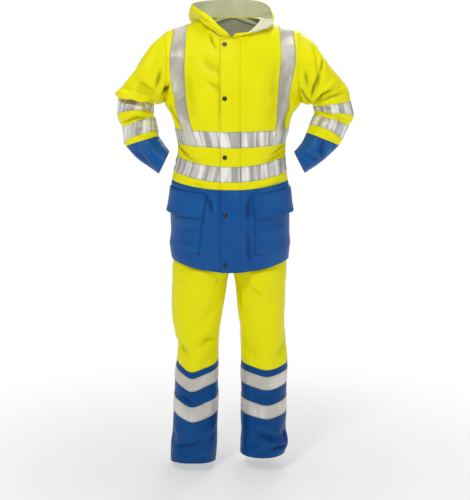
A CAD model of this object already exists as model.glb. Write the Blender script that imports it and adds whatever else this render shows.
"""Looks of the rain suit: hooded jacket and trousers of coated cloth, as worn with the arms akimbo.

Each panel is a fine grid of points on the same curves as the solid that it replaces. Panels that are sewn
together share their edge points, and folds and creases move those points along the cloth's normals.
X runs to the wearer's left, Y to the back and Z up. Left and right are the wearer's. All lengths are metres.
"""

import logging
import math
from dataclasses import dataclass, field, replace
from enum import Enum
from typing import ClassVar, Iterable, NamedTuple, Optional, Sequence, Union

import bpy
import numpy as np
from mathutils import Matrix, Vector


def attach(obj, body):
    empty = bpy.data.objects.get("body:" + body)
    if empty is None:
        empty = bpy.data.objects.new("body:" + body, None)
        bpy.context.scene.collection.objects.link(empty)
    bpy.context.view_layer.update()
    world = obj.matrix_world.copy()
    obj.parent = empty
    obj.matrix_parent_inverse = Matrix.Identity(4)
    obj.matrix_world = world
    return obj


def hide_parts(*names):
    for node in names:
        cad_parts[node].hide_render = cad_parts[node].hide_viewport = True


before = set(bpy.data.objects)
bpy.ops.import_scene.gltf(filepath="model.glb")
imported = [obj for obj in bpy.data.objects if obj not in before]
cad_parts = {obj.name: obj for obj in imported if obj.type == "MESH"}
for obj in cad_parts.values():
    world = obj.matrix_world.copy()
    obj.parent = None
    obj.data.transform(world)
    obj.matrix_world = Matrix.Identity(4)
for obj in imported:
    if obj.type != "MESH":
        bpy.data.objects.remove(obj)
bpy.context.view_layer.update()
LOG = logging.getLogger("rain_suit")
BODY = "root"

Array = np.ndarray
Colour = tuple[float, float, float]


class Side(Enum):
    """The wearer's side."""

    RIGHT = "right"
    LEFT = "left"

    @property
    def sign(self) -> int:
        """Sign of X on this side."""
        return 1 if self is Side.LEFT else -1


class Face(Enum):
    """Front or back of the body."""

    FRONT = "front"
    BACK = "back"

    @property
    def sign(self) -> int:
        """Sign of Y on this face."""
        return -1 if self is Face.FRONT else 1


def thousandths(value: tuple | float) -> tuple | float:
    """A number of a table, or each number of a place in it, as that many thousandths."""
    return tuple(map(thousandths, value)) if isinstance(value, tuple) else value / 1000


def rows_of(kind: type, *table: tuple) -> tuple:
    """Named rows from plain ones, whose lengths are in millimetres and whose shares are in thousandths."""
    return tuple(kind(*thousandths(row)) for row in table)


# The photograph's frame in pixels, and the camera that matches it
PHOTO_SIZE = (470, 500)
CAMERA_PLACE = (0.012, -3.70, -0.160)
CAMERA_TILT = 9.0
FOCAL_PIXELS = 1083.0

# Cloth, tape and the gaps between layers
CLOTH = 0.0015
TAPE = 0.0010
LAY_GAP = 0.0004
SEAM_GAP = 0.0002
TAPE_WIDTH = 0.050

# How far the stitches lie from an edge or a seam
TAPE_INSET = 0.0025
SEAM_INSET = 0.004
ARM_INSET = 0.005
POCKET_INSET = 0.003
HEM_INSET = 0.020

# Levels of the jacket, from the hem to the shoulder seam
HEM = -0.785
POCKET_FOOT = -0.735
POCKET_FLAP_FOOT = -0.612
POCKET_FLAP_TOP = -0.537
COLOUR_SEAM = -0.522
LOWER_BAND = (-0.497, -0.446)
UPPER_BAND = (-0.385, -0.332)
ARMPIT = -0.240
CHEST_TOP = -0.085
NECK_PIT = -0.050
COLLAR_ROW = -0.036
NAPE = -0.022
SHOULDER = 0.012
LOWER_LEVELS = (HEM, POCKET_FOOT, POCKET_FLAP_FOOT, POCKET_FLAP_TOP, COLOUR_SEAM)
CHEST_LEVELS = (COLOUR_SEAM, *LOWER_BAND, *UPPER_BAND, ARMPIT, CHEST_TOP, NECK_PIT)
NECK_LEVELS = (NECK_PIT, COLLAR_ROW, NAPE, -0.008, 0.004, SHOULDER)

# Levels of the trousers
WAIST = -0.440
LEG_COLOUR_SEAM = -1.138
LEG_TAPES = ((-1.162, -1.211), (-1.266, -1.315))
LEG_HEM = -1.500
WAISTBAND_HEIGHT = 0.040
LEG_UPPER_LEVELS = (WAIST, -0.795, -0.840, LEG_COLOUR_SEAM)
LEG_LOWER_LEVELS = (LEG_COLOUR_SEAM, *LEG_TAPES[0], *LEG_TAPES[1], LEG_HEM)

# Fullness of a row's curve, as a share of its reach
ROUND = 0.60
FLAT = 0.35
HALF_RING = 4.0 / 3.0
CROTCH_SWELL = 1.8
CURVE_SAMPLES = 161


class TorsoRow(NamedTuple):
    """One level of the jacket: centre points, side seam or armhole, and how its curve leaves the side."""

    level: float
    front_x: float
    front_y: float
    front_z: float
    back_x: float
    back_y: float
    back_z: float
    side_right: float
    side_left: float
    side_z: float
    arm_front: float
    arm_back: float
    turn: float
    slope: float


TORSO = rows_of(
    TorsoRow,
    (-785, 0, -150, -800, 0, 152, -787, 209, 200, -765, 0, 0, 0, 0),
    (-740, 0, -157, -752, 0, 158, -741, 214, 203, -727, 0, 0, 0, 0),
    (-690, 0, -162, -700, 0, 161, -690, 209, 200, -680, 0, 0, 0, 0),
    (-600, 0, -166, -608, 0, 160, -600, 208, 199, -592, 0, 0, 0, 0),
    (-555, 0, -163, -561, 0, 152, -550, 209, 201, -543, 0, 0, 0, 0),
    (-522, 0, -157, -523, 0, 143, -512, 204, 193, -498, 0, 0, 0, 0),
    (-497, 0, -152, -498, 0, 137, -486, 197, 188, -468, 0, 0, 0, 0),
    (-446, 0, -148, -447, 0, 130, -436, 185, 184, -419, 0, 0, 0, 0),
    (-385, 0, -151, -385, 0, 130, -378, 182, 184, -373, 0, 0, 0, 0),
    (-332, 0, -158, -332, 0, 138, -328, 190, 195, -325, 0, 0, 0, 0),
    (-285, 0, -163, -285, 0, 146, -284, 203, 205, -282, 0, 0, 0, 0),
    (-240, 0, -165, -240, 0, 151, -240, 226, 234, -240, 0, 0, 50, 0),
    (-190, 0, -163, -190, 0, 152, -190, 219, 224, -197, 70, 62, 350, 0),
    (-140, 0, -157, -140, 0, 148, -138, 213, 218, -148, 98, 88, 550, 100),
    (-90, 0, -146, -88, 0, 138, -80, 211, 217, -98, 100, 95, 700, 300),
    (-50, 0, -126, -33, 0, 118, -20, 213, 219, -56, 80, 79, 850, 600),
    (-36, 30, -118, -26, 0, 100, 18, 215, 221, -40, 63, 63, 900, 800),
    (-22, 58, -95, -10, 0, 82, 46, 217, 223, -27, 46, 46, 950, 900),
    (-8, 81, -60, 10, 47, 72, 46, 219, 225, -16, 29, 29, 1000, 1000),
    (4, 94, -22, 26, 82, 43, 41, 220, 226, -9, 13, 13, 1000, 1000),
    (12, 98, 10, 34, 98, 10, 34, 221, 227, -6, 0, 0, 1000, 1000),
)


class BraceRow(NamedTuple):
    """How far from the centre the inner edge of the brace, and lower down of the pocket, lies."""

    level: float
    front_right: float
    front_left: float
    back_right: float
    back_left: float
    pocket: float


BRACES = rows_of(
    BraceRow,
    (-785, 105, 80, 100, 100, 1000),
    (-735, 105, 79, 100, 100, 1000),
    (-612, 93, 76, 100, 100, 1000),
    (-537, 82, 70, 100, 100, 1000),
    (-490, 86, 82, 103, 103, 700),
    (-446, 95, 106, 107, 107, 300),
    (-385, 107, 127, 112, 112, 0),
    (-332, 127, 146, 118, 118, 0),
    (-280, 142, 151, 126, 126, 0),
    (-200, 152, 154, 136, 136, 0),
    (-140, 154, 158, 142, 142, 0),
    (-85, 152, 162, 146, 151, 0),
    (-40, 149, 161, 147, 156, 0),
    (12, 146, 158, 146, 158, 0),
)


class SleeveRow(NamedTuple):
    """One ring of a sleeve: its nearest and farthest point from the body, and its reach front and back."""

    inner_x: float
    inner_z: float
    outer_x: float
    outer_z: float
    middle_y: float
    half_depth: float
    bow: float


SLEEVES = {
    Side.RIGHT: rows_of(
        SleeveRow,
        (247, -246, 262, -43, 0, 94, 0),
        (256, -242, 296, -84, 4, 90, 0),
        (259, -236, 330, -139, 12, 84, 0),
        (258, -231, 366, -184, 22, 81, 0),
        (261, -238, 395, -208, 30, 80, 2),
        (265, -248, 387, -231, 34, 72, 4),
        (268, -278, 391, -286, 40, 73, 16),
        (267, -286, 384, -308, 40, 70, 14),
        (262, -294, 372, -331, 38, 68, 12),
        (250, -341, 367, -383, 28, 68, 14),
        (247, -356, 360, -391, 22, 66, 6),
        (234, -374, 326, -423, 6, 61, 0),
        (223, -388, 287, -451, -12, 56, 0),
        (210, -403, 246, -478, -30, 52, 0),
    ),
    Side.LEFT: rows_of(
        SleeveRow,
        (250, -245, 271, -37, 0, 94, 0),
        (262, -246, 301, -80, 4, 90, 0),
        (269, -246, 331, -116, 12, 85, 0),
        (273, -247, 368, -158, 20, 81, 0),
        (276, -250, 396, -195, 28, 80, 0),
        (279, -255, 407, -237, 34, 77, 1),
        (284, -270, 418, -286, 42, 74, 4),
        (283, -279, 413, -304, 42, 72, 6),
        (281, -288, 400, -325, 40, 70, 12),
        (268, -320, 378, -369, 30, 68, 14),
        (257, -344, 366, -387, 22, 66, 4),
        (243, -371, 330, -421, 6, 61, 0),
        (228, -389, 290, -450, -12, 56, 0),
        (212, -405, 249, -477, -30, 52, 0),
    ),
}
SLEEVE_FULLNESS = 0.92
SLEEVE_TAPE_RINGS = ((6, 7), (9, 10))
SLEEVE_COLOUR_RING = 11


class HoodRow(NamedTuple):
    """One place along the hood: the rim's point, and the cloth's pull from the neckline and from the rim."""

    at: float
    rim: tuple[float, float, float]
    low: tuple[float, float, float]
    high: tuple[float, float, float]


HOOD = rows_of(
    HoodRow,
    (0, (-12, -131, -13), (-3, -4, 6), (-1, -4, -6)),
    (80, (-37, -118, 8), (-8, -10, 12), (-6, -10, -10)),
    (170, (-70, -94, 41), (-20, -20, 14), (-14, -16, -16)),
    (270, (-124, -36, 78), (-28, -12, 10), (-4, -10, -22)),
    (340, (-132, 30, 90), (-46, 30, 12), (-30, 30, -75)),
    (420, (-88, 104, 104), (-40, 86, -12), (-44, 66, -190)),
    (500, (0, 134, 112), (0, 104, -40), (0, 82, -240)),
    (580, (84, 106, 104), (40, 86, -12), (44, 66, -190)),
    (660, (126, 46, 82), (46, 32, 12), (32, 28, -70)),
    (740, (138, -6, 46), (36, 4, 6), (14, -4, -18)),
    (820, (128, -58, 14), (34, -20, 4), (8, -14, -6)),
    (910, (78, -104, -8), (10, -14, 6), (4, -8, -6)),
    (1000, (12, -131, -16), (3, -4, 5), (1, -4, -5)),
)


class LegRow(NamedTuple):
    """One level of a trouser leg: inner and outer seams, depth to front and back, and the front's sag."""

    level: float
    inner_right: float
    inner_left: float
    inner_front: float
    inner_back: float
    outer_right: float
    outer_left: float
    front_y: float
    back_y: float
    sag_right: float
    sag_left: float
    left_lift: float
    split: float


LEGS = rows_of(
    LegRow,
    (-440, 0, 0, -120, 110, 160, 160, -120, 110, 0, 0, 0, 0),
    (-520, 0, 0, -130, 122, 172, 170, -130, 122, 0, 0, 0, 0),
    (-600, 0, 0, -137, 136, 187, 182, -137, 136, 0, 0, 0, 0),
    (-690, 0, 0, -139, 141, 194, 187, -139, 141, 0, 0, 0, 0),
    (-760, 0, 0, -118, 124, 197, 187, -136.7, 140.5, 0, 0, 0, 168),
    (-795, 1, 1, -70, 78, 204, 190, -132, 135, 0, 0, 0, 450),
    (-815, 5, 4, -26, 30, 206, 190, -129, 132, 0, 0, 0, 850),
    (-840, 12, 10, 0, 0, 207, 189, -126, 129, 0, 0, 0, 1000),
    (-890, 19, 15, 0, 0, 208, 187, -120, 124, 0, 0, 0, 1000),
    (-972, 33, 25, 0, 0, 208, 184, -108, 113, 0, 0, 0, 1000),
    (-1040, 43, 31, 0, 0, 196, 188, -98, 101, 6, 2, 0, 1000),
    (-1075, 45, 32, 0, 0, 188, 191, -95, 96, 12, 5, 0, 1000),
    (-1138, 46, 33, 0, 0, 191, 196, -92, 94, 20, 10, 0, 1000),
    (-1211, 47, 33, 0, 0, 199, 194, -90, 94, 16, 9, 0, 1000),
    (-1266, 47, 33, 0, 0, 202, 193, -90, 95, 16, 8, 0, 1000),
    (-1315, 48, 33, 0, 0, 204, 193, -90, 96, 20, 8, 0, 1000),
    (-1380, 50, 33, 0, 0, 209, 191, -91, 98, 8, 4, 4, 1000),
    (-1445, 53, 31, 0, 0, 215, 201, -93, 102, -4, 0, 16, 1000),
    (-1500, 56, 30, 0, 0, 217, 189, -96, 106, -16, -4, 32, 1000),
)


class Fold(NamedTuple):
    """A broad ridge, or a trough where its height is below zero, that the solid has too."""

    start: tuple[float, float, float]
    end: tuple[float, float, float]
    width: float
    height: float


class Crease(NamedTuple):
    """A fine crease along two or three points, with a low shoulder on each side."""

    path: tuple[tuple[float, float, float], ...]
    width: float
    height: float


class Seen(NamedTuple):
    """A crease that the photograph shows: its places in the picture, in pixels, read by eye."""

    places: tuple[tuple[float, float], ...]
    width: float
    height: float


def creases_of(*table: tuple) -> tuple[Crease | Seen, ...]:
    """Creases from plain rows: the places, then the width and the height in millimetres.

    A place of two numbers is a pixel of the photograph, and one of three is a point in millimetres.
    """
    made = []
    for *places, width, height in table:
        if len(places[0]) == 2:
            made.append(Seen(tuple(places), width / 1000, height / 1000))
        else:
            made.append(Crease(thousandths(tuple(places)), width / 1000, height / 1000))
    return tuple(made)


JACKET_FOLDS = rows_of(
    Fold,
    ((-188, -100, -150), (-158, -140, -290), 18, -7),
    ((195, -105, -160), (170, -135, -300), 18, -8),
    ((-55, -150, -50), (-42, -160, -130), 12, -5),
    ((-185, -60, -400), (-100, -145, -470), 24, -7),
    ((185, -60, -395), (100, -145, -465), 24, -7),
    ((-170, -90, -360), (-80, -150, -420), 20, 5),
    ((170, -90, -350), (90, -150, -410), 20, 5),
    ((-65, -155, -540), (-75, -155, -780), 22, -6),
    ((55, -155, -540), (62, -155, -780), 22, -6),
    ((-200, 20, -540), (-212, 10, -770), 26, -6),
    ((195, 20, -540), (203, 10, -770), 26, -6),
    ((-170, 120, -130), (-60, 150, -300), 26, -7),
    ((172, 120, -120), (70, 150, -290), 26, -7),
    ((-110, 120, -415), (100, 125, -400), 20, -8),
    ((-130, 115, -370), (60, 130, -350), 22, 5),
    ((-90, 145, -520), (-105, 150, -780), 28, 7),
    ((80, 145, -520), (90, 150, -780), 28, 7),
    ((-255, -80, -70), (-270, -85, -170), 18, -8),
    ((-345, -50, -150), (-270, -80, -215), 16, -8),
    ((-375, -20, -318), (-275, -30, -292), 12, -7),
    ((-370, 100, -300), (-280, 105, -270), 20, -8),
    ((-330, 90, -130), (-260, 80, -215), 20, -8),
    ((288, -60, -55), (296, -90, -135), 14, -10),
    ((268, -75, -60), (272, -90, -140), 14, 6),
    ((305, -85, -140), (280, -80, -225), 16, -8),
    ((370, -40, -185), (285, -70, -238), 14, -9),
    ((400, -20, -305), (295, -30, -282), 12, -7),
    ((390, 105, -290), (290, 105, -262), 20, -8),
    ((330, 95, -120), (270, 85, -220), 20, -8),
)
HOOD_FOLDS = rows_of(
    Fold,
    ((-110, -60, 58), (-50, -115, 4), 10, -4),
    ((-60, 190, -20), (-90, 150, 60), 22, -8),
    ((50, 190, -30), (85, 150, 50), 22, -8),
)
LEG_FOLDS = rows_of(
    Fold,
    ((-170, -85, -830), (-110, -115, -1030), 26, -6),
    ((150, -90, -830), (100, -115, -1020), 26, -6),
    ((-185, -40, -1070), (-70, -80, -1050), 22, -8),
    ((185, -40, -1030), (60, -90, -1060), 22, -7),
    ((-110, -95, -1090), (-120, -95, -1330), 24, 6),
    ((110, -95, -1090), (120, -95, -1330), 24, 6),
    ((-205, -40, -1400), (-80, -85, -1430), 18, -7),
    ((190, -40, -1385), (60, -85, -1410), 18, -8),
    ((-180, 70, -1060), (-70, 90, -1020), 22, -9),
    ((170, 75, -1030), (60, 90, -1070), 22, -9),
    ((-190, 70, -1360), (-80, 90, -1400), 20, -7),
    ((180, 75, -1370), (60, 90, -1350), 20, -7),
)
FOLD_REACH = 1.6
CREASE_POWER = 1.6
SHOULDER_RISE = 0.30
SHOULDER_PLACE = 2.0
SHOULDER_WIDTH = 0.8
END_SHARE = 0.30
PINCH_WIDTH = 0.42
SWELL_WAVES = 14
SWELL_LENGTHS = (0.035, 0.110)
SWELL_MIDDLE = 0.07
CREASE_DEPTH = 1.15
CREASE_BED = 0.018
CREASE_SHARPNESS = 1.25
PINCHED_WIDTH = 0.0165
PINCHED_DEPTH = 0.0090
SIGHT_RADIUS = 2.5
SIGHT_DEPTH = 0.030
SIGHT_SLACK = 0.008

JACKET_CREASES = creases_of(
    # Right sleeve
    ((168.9, 84.4), (165.8, 89.9), (163.0, 95.7), 11, -11),
    ((160.6, 68.9), (158.2, 78.4), (155.5, 89.5), 16, -6),
    ((138.2, 79.6), (145.1, 89.5), (154.8, 96.8), 22, -9),
    ((151.7, 66.3), (137.0, 74.0), (122.4, 87.0), 26, 6),
    ((117.2, 93.0), (131.9, 95.7), (149.1, 99.2), 12, 10),
    ((-377, -12, -229), (-325, -40, -235), (-272, -20, -243), 10, -12),
    ((145.1, 103.3), (146.2, 108.5), (145.1, 112.3), 12, -6),
    ((119.3, 118.8), (132.7, 114.0), (151.7, 117.1), 9, 6),
    ((122.0, 122.6), (137.0, 117.1), (153.7, 120.5), 8, -6),
    ((125.8, 143.3), (140.5, 134.7), (156.0, 136.4), 8, 5),
    ((132.7, 149.8), (141.3, 157.6), (151.7, 167.0), 16, -5),
    ((149.1, 143.8), (153.4, 151.5), (160.3, 155.8), 12, 5),
    ((138.7, 146.4), (145.1, 151.5), (149.9, 160.2), 9, 4),
    # Left sleeve
    ((293, -10, -62), (297, -43, -89), (297, -66, -130), 8, -12),
    ((313.5, 45.1), (317.3, 56.8), (318.4, 68.9), 10, 10),
    ((320.4, 72.3), (314.9, 86.1), (311.5, 97.8), 12, -9),
    ((334.5, 86.4), (322.5, 94.7), (313.5, 103.0), 10, -9),
    ((338.5, 82.7), (327.3, 88.7), (317.3, 96.4), 14, 6),
    ((345.4, 91.3), (331.6, 96.8), (317.3, 101.9), 9, -6),
    ((300.4, 89.9), (304.9, 97.8), (312.2, 103.3), 9, -10),
    ((304.9, 68.9), (306.6, 79.2), (307.7, 89.5), 16, -5),
    ((317.3, 110.2), (332.5, 112.3), (349.7, 116.8), 8, 5),
    ((275, -20, -330), (322, -38, -335), (368, -1, -372), 8, 5),
    ((337.6, 103.3), (331.6, 118.8), (325.6, 130.9), 14, 4),
    ((323.9, 137.8), (322.1, 148.1), (320.8, 160.2), 14, -6),
    ((329.0, 140.3), (328.2, 146.4), (322.5, 155.8), 12, 5),
    ((304.9, 151.5), (312.7, 157.6), (322.1, 160.5), 10, -4),
    # Chest and waist
    ((209.8, 32.6), (211.9, 41.4), (216.5, 49.5), 6, -5.5),
    ((213.0, 33.0), (216.5, 41.4), (219.3, 48.4), 8, 3.5),
    ((201.0, 58.2), (210.2, 66.6), (218.9, 70.9), 18, -4),
    ((207.0, 80.7), (213.7, 85.6), (219.3, 90.5), 14, -4),
    ((218.8, 68.9), (219.5, 96.4), (219.9, 127.4), 10, -3),
    ((187.8, 65.4), (189.5, 89.5), (193.9, 120.5), 30, -4),
    ((273.9, 56.8), (274.8, 89.5), (273.1, 124.0), 26, -4),
    ((260.2, 72.3), (258.4, 96.4), (255.8, 124.0), 30, 4),
    ((169.7, 103.3), (174.0, 117.1), (180.9, 128.3), 14, -6),
    ((290.3, 105.0), (286.8, 117.1), (282.5, 128.3), 14, -6),
    ((-182, -10, -380), (-172, -44, -397), (-145, -91, -413), 8, -6),
    ((179.6, 149.6), (187.9, 157.9), (200.4, 162.9), 10, -4),
    ((284.4, 143.7), (277.5, 150.5), (270.0, 155.4), 8, -6),
    ((283.8, 149.6), (275.8, 156.6), (263.4, 162.6), 10, -4),
    ((192.9, 182.5), (200.4, 185.5), (207.8, 187.8), 8, -4),
    ((284.1, 179.5), (272.5, 184.8), (256.7, 188.6), 10, -4),
    # Skirt
    ((207.0, 196.1), (209.5, 203.5), (212.1, 212.6), 9, -5),
    ((211.5, 194.4), (214.1, 204.4), (216.1, 219.3), 10, 3),
    ((250.1, 194.4), (248.9, 206.0), (248.0, 222.6), 12, -5),
    ((221.4, 220.1), (228.6, 222.3), (236.0, 221.3), 6, -2),
    ((221.1, 230.1), (228.6, 231.7), (236.8, 230.1), 7, -2),
    ((178.0, 225.9), (192.9, 230.1), (209.5, 235.9), 16, -3),
    ((179.6, 243.3), (196.2, 249.1), (214.5, 250.8), 16, 3),
    ((282.4, 227.6), (269.2, 234.2), (255.9, 237.5), 18, 3),
    ((247.6, 229.2), (248.9, 249.1), (250.1, 267.4), 14, -5),
    ((187.9, 255.8), (189.6, 262.4), (190.4, 267.4), 12, 3),
    ((259.2, 255.8), (260.1, 262.4), (260.9, 267.4), 14, 3),
    # Back
    ((-205, 70, -190), (-170, 118, -235), (-110, 142, -262), 12, -7),
    ((210, 72, -185), (172, 118, -228), (120, 140, -250), 12, -7),
    ((-178, 85, -300), (-120, 124, -318), (-50, 138, -312), 14, -5),
    ((180, 83, -295), (128, 122, -322), (70, 136, -330), 12, -5),
    ((-150, 98, -425), (-80, 126, -440), (20, 130, -432), 10, -6),
    ((150, 98, -408), (95, 120, -425), (40, 129, -420), 10, -5),
    ((-30, 140, -540), (-22, 156, -640), (-34, 155, -770), 20, -6),
    ((150, 110, -535), (158, 114, -640), (150, 115, -770), 18, -6),
    ((-160, 105, -540), (-168, 110, -650), (-160, 112, -765), 18, -6),
    ((-300, 92, -160), (-270, 94, -200), (-245, 70, -235), 10, -8),
    ((-390, 70, -215), (-345, 104, -232), (-290, 100, -245), 10, 6),
    ((-375, 85, -268), (-330, 110, -265), (-285, 90, -280), 9, -7),
    ((305, 90, -150), (280, 94, -195), (262, 70, -240), 10, -8),
    ((400, 85, -235), (355, 110, -240), (305, 95, -255), 10, -7),
    ((405, 90, -262), (360, 112, -270), (300, 90, -285), 10, 6),
    ((-330, 70, -372), (-290, 70, -405), (-262, 45, -430), 12, -5),
    ((335, 70, -370), (296, 70, -404), (270, 45, -432), 12, -5),
    # Sides
    ((-196, 0, -300), (-186, 20, -340), (-178, 50, -380), 12, -6),
    ((200, 0, -305), (190, 25, -345), (180, 50, -385), 12, -6),
    ((-190, -20, -440), (-192, 10, -455), (-185, 45, -462), 9, -5),
    ((188, -20, -445), (190, 15, -452), (182, 50, -470), 9, -5),
)
HOOD_CREASES = creases_of(
    ((200.3, 23.5), (208.1, 27.7), (215.1, 33.7), 5, -4.5),
    ((201.0, 19.6), (210.2, 24.6), (217.9, 31.6), 5, 4),
    ((196.5, 15.1), (206.0, 21.0), (215.1, 27.4), 4.5, -3.5),
    ((213.0, 27.0), (217.2, 31.6), (221.4, 37.9), 4, -4),
    ((247.3, 35.4), (257.2, 33.0), (264.9, 30.2), 4.5, 3),
    ((83, 67, 31), (101, 80, 45), (126, 20, 37), 9, 6),
    ((-40, 200, 10), (-20, 205, -40), (10, 200, -70), 14, -7),
    ((70, 175, 30), (50, 195, -20), (45, 190, -60), 12, 5),
    ((-110, 80, 70), (-120, 90, 20), (-100, 110, -30), 12, -6),
    ((110, 85, 70), (118, 90, 20), (100, 115, -25), 12, -6),
)
LEG_CREASES = creases_of(
    # Right leg
    ((175.9, 278.7), (189.4, 280.6), (203.8, 280.3), 6, -3),
    ((182.3, 283.0), (195.8, 284.1), (211.7, 284.1), 6, -2.5),
    ((216.8, 274.7), (218.4, 279.5), (214.9, 288.3), 8, -4),
    ((214.9, 302.6), (203.8, 317.0), (192.6, 324.9), 30, -4),
    ((177.0, 339.3), (181.8, 347.6), (187.8, 353.6), 16, -7),
    ((211.0, 344.1), (197.4, 356.8), (189.7, 368.8), 22, 6),
    ((216.2, 339.3), (208.6, 339.3), (197.4, 347.3), 16, -6),
    ((179.1, 394.3), (188.6, 400.7), (192.6, 407.0), 14, -5),
    ((216.5, 393.5), (203.8, 401.5), (195.0, 409.4), 16, 4),
    ((174.3, 444.8), (191.0, 446.1), (203.0, 439.7), 10, -6),
    ((203.8, 438.9), (210.2, 431.8), (214.1, 426.2), 12, 5),
    ((186.2, 439.7), (188.2, 430.2), (191.8, 422.2), 16, 4),
    ((179.9, 459.7), (194.2, 457.3), (208.6, 447.7), 14, 5),
    # Left leg
    ((247.1, 284.4), (254.0, 290.2), (262.0, 295.4), 8, -5),
    ((250.0, 291.8), (257.2, 293.4), (266.0, 297.8), 7, -3),
    ((266.0, 303.4), (273.9, 301.8), (284.3, 301.3), 7, -2.5),
    ((251.6, 311.4), (263.6, 313.0), (277.9, 311.9), 10, -3),
    ((238.5, 281.9), (239.2, 297.8), (241.4, 317.0), 12, -6),
    ((242.0, 339.3), (246.5, 347.3), (254.8, 355.2), 18, -6),
    ((285.4, 339.3), (281.9, 348.9), (275.5, 358.4), 18, -6),
    ((267.6, 339.3), (268.3, 352.0), (269.9, 364.8), 28, 5),
    ((251.6, 393.5), (261.2, 398.3), (275.5, 401.5), 14, -3),
    ((250.0, 423.0), (262.8, 427.0), (273.1, 433.4), 12, 5),
    ((254.8, 433.4), (267.6, 438.1), (280.3, 439.7), 12, -6),
    ((255.6, 450.1), (267.6, 445.3), (277.1, 442.1), 10, 6),
    ((270.7, 451.2), (278.4, 447.7), (286.4, 444.8), 8, -8),
    ((192, -15, -1385), (186, -39, -1404), (182, -56, -1425), 10, -6),
    # Seat and backs of the legs
    ((-60, 100, -850), (-110, 124, -866), (-165, 105, -872), 14, -6),
    ((55, 100, -850), (100, 124, -872), (150, 105, -880), 14, -6),
    ((-190, 50, -1010), (-140, 98, -1030), (-85, 96, -1046), 12, -7),
    ((-180, 60, -1085), (-130, 94, -1078), (-75, 80, -1090), 12, 6),
    ((178, 55, -1060), (130, 96, -1045), (75, 94, -1030), 12, -7),
    ((180, 60, -1110), (125, 94, -1100), (70, 85, -1085), 12, 6),
    ((-195, 60, -1425), (-150, 92, -1412), (-90, 80, -1432), 12, -6),
    ((-190, 65, -1462), (-140, 98, -1455), (-95, 85, -1470), 12, 5),
    ((180, 60, -1420), (120, 98, -1425), (60, 80, -1405), 12, -6),
    ((170, 75, -1450), (110, 100, -1452), (55, 75, -1440), 12, 5),
)


def smooth(rows: Sequence[NamedTuple], column: str, at: Array) -> Array:
    """Reads a column of a table at any levels, by a cubic through its rows that never runs past them.

    Args:
        rows: Table rows with a level each.
        column: Name of the column.
        at: Levels to read.

    Returns:
        The column's values at those levels.
    """
    places = np.array([row.level for row in rows], float)
    values = np.array([getattr(row, column) for row in rows], float)
    order = np.argsort(places)
    places, values = places[order], values[order]
    steepness = np.diff(values) / np.diff(places)
    product = steepness[:-1] * steepness[1:]
    both = steepness[:-1] + steepness[1:]
    middle = np.where(product > 0, 2 * product / np.where(product > 0, both, 1), 0)
    slopes = np.concatenate([steepness[:1], middle, steepness[-1:]])
    return smooth_through(places, values, np.asarray(at, float), slopes)


def smooth_through(places: Array, values: Array, at: Array, slopes: Optional[Array] = None) -> Array:
    """A cubic through values at rising places.

    Args:
        places: Rising places, one per value.
        values: Values, of any shape after the first axis.
        at: Places to read.
        slopes: Slope at each place, or None for the slope between its neighbours.

    Returns:
        The values at those places.
    """
    if slopes is None:
        slopes = np.gradient(values, places, axis=0)
    index = np.clip(np.searchsorted(places, at, side="right") - 1, 0, len(places) - 2)
    shape = at.shape + (1,) * (values.ndim - 1)
    step = (places[index + 1] - places[index]).reshape(shape)
    part = (at - places[index]).reshape(shape) / step
    start = (1 + 2 * part) * (1 - part) ** 2 * values[index] + part * (1 - part) ** 2 * step * slopes[index]
    end = part**2 * (3 - 2 * part) * values[index + 1] - part**2 * (1 - part) * step * slopes[index + 1]
    return start + end


def curves(start: Array, start_pull: Array, end_pull: Array, end: Array) -> Array:
    """One cubic curve per row, pulled at its two ends.

    Args:
        start: First points.
        start_pull: Handles from the first points.
        end_pull: Handles from the last points.
        end: Last points.

    Returns:
        Samples along each curve.
    """
    t = np.linspace(0, 1, CURVE_SAMPLES)[None, :, None]
    second = (start + start_pull)[:, None]
    third = (end + end_pull)[:, None]
    near = (1 - t) ** 3 * start[:, None] + 3 * t * (1 - t) ** 2 * second
    return near + 3 * t**2 * (1 - t) * third + t**3 * end[:, None]


def runs_of(samples: Array) -> Array:
    """Distance run along each sampled curve."""
    steps = np.linalg.norm(np.diff(samples, axis=1), axis=2)
    return np.concatenate([np.zeros((len(samples), 1)), np.cumsum(steps, axis=1)], axis=1)


def points_at(samples: Array, runs: Array, distances: Array) -> Array:
    """Points of sampled curves at given distances, by straight steps between samples.

    Args:
        samples: Samples of each curve.
        runs: Distance run at each sample.
        distances: Distances asked for on each curve.

    Returns:
        One row of points per curve.
    """
    count = samples.shape[1]
    lane = np.arange(len(samples))[:, None]
    span = runs[:, -1:].max() + 1
    keyed = (runs + lane * span).reshape(-1)
    index = np.searchsorted(keyed, (distances + lane * span).reshape(-1), side="right") - 1
    index = np.clip(index.reshape(distances.shape) - lane * count, 0, count - 2)
    low = runs[lane, index]
    part = ((distances - low) / np.maximum(runs[lane, index + 1] - low, 1e-12))[..., None]
    return samples[lane, index] * (1 - part) + samples[lane, index + 1] * part


def refined(levels: Sequence[float], step: float) -> Array:
    """Splits the steps between named levels so that none is longer than step, and keeps each named level."""
    parts = []
    for low, high in zip(levels[:-1], levels[1:]):
        count = max(1, math.ceil(abs(high - low) / step - 1e-9))
        parts.append(np.linspace(low, high, count, endpoint=False))
    return np.concatenate([*parts, [levels[-1]]])


def row_of(levels: Array, level: float) -> int:
    """Index of a named level."""
    return int(np.argmin(np.abs(levels - level)))


def unit(vectors: Array) -> Array:
    """The vectors at length one."""
    return vectors / np.maximum(np.linalg.norm(vectors, axis=-1, keepdims=True), 1e-12)


def grid_quads(rows: int, columns: int) -> Array:
    """Squares of a grid of points, counted row by row, facing the reader who sees columns and rows rise."""
    corner = (np.arange(rows - 1)[:, None] * columns + np.arange(columns - 1)[None, :]).reshape(-1)
    return np.stack([corner, corner + 1, corner + columns + 1, corner + columns], axis=1)


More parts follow.
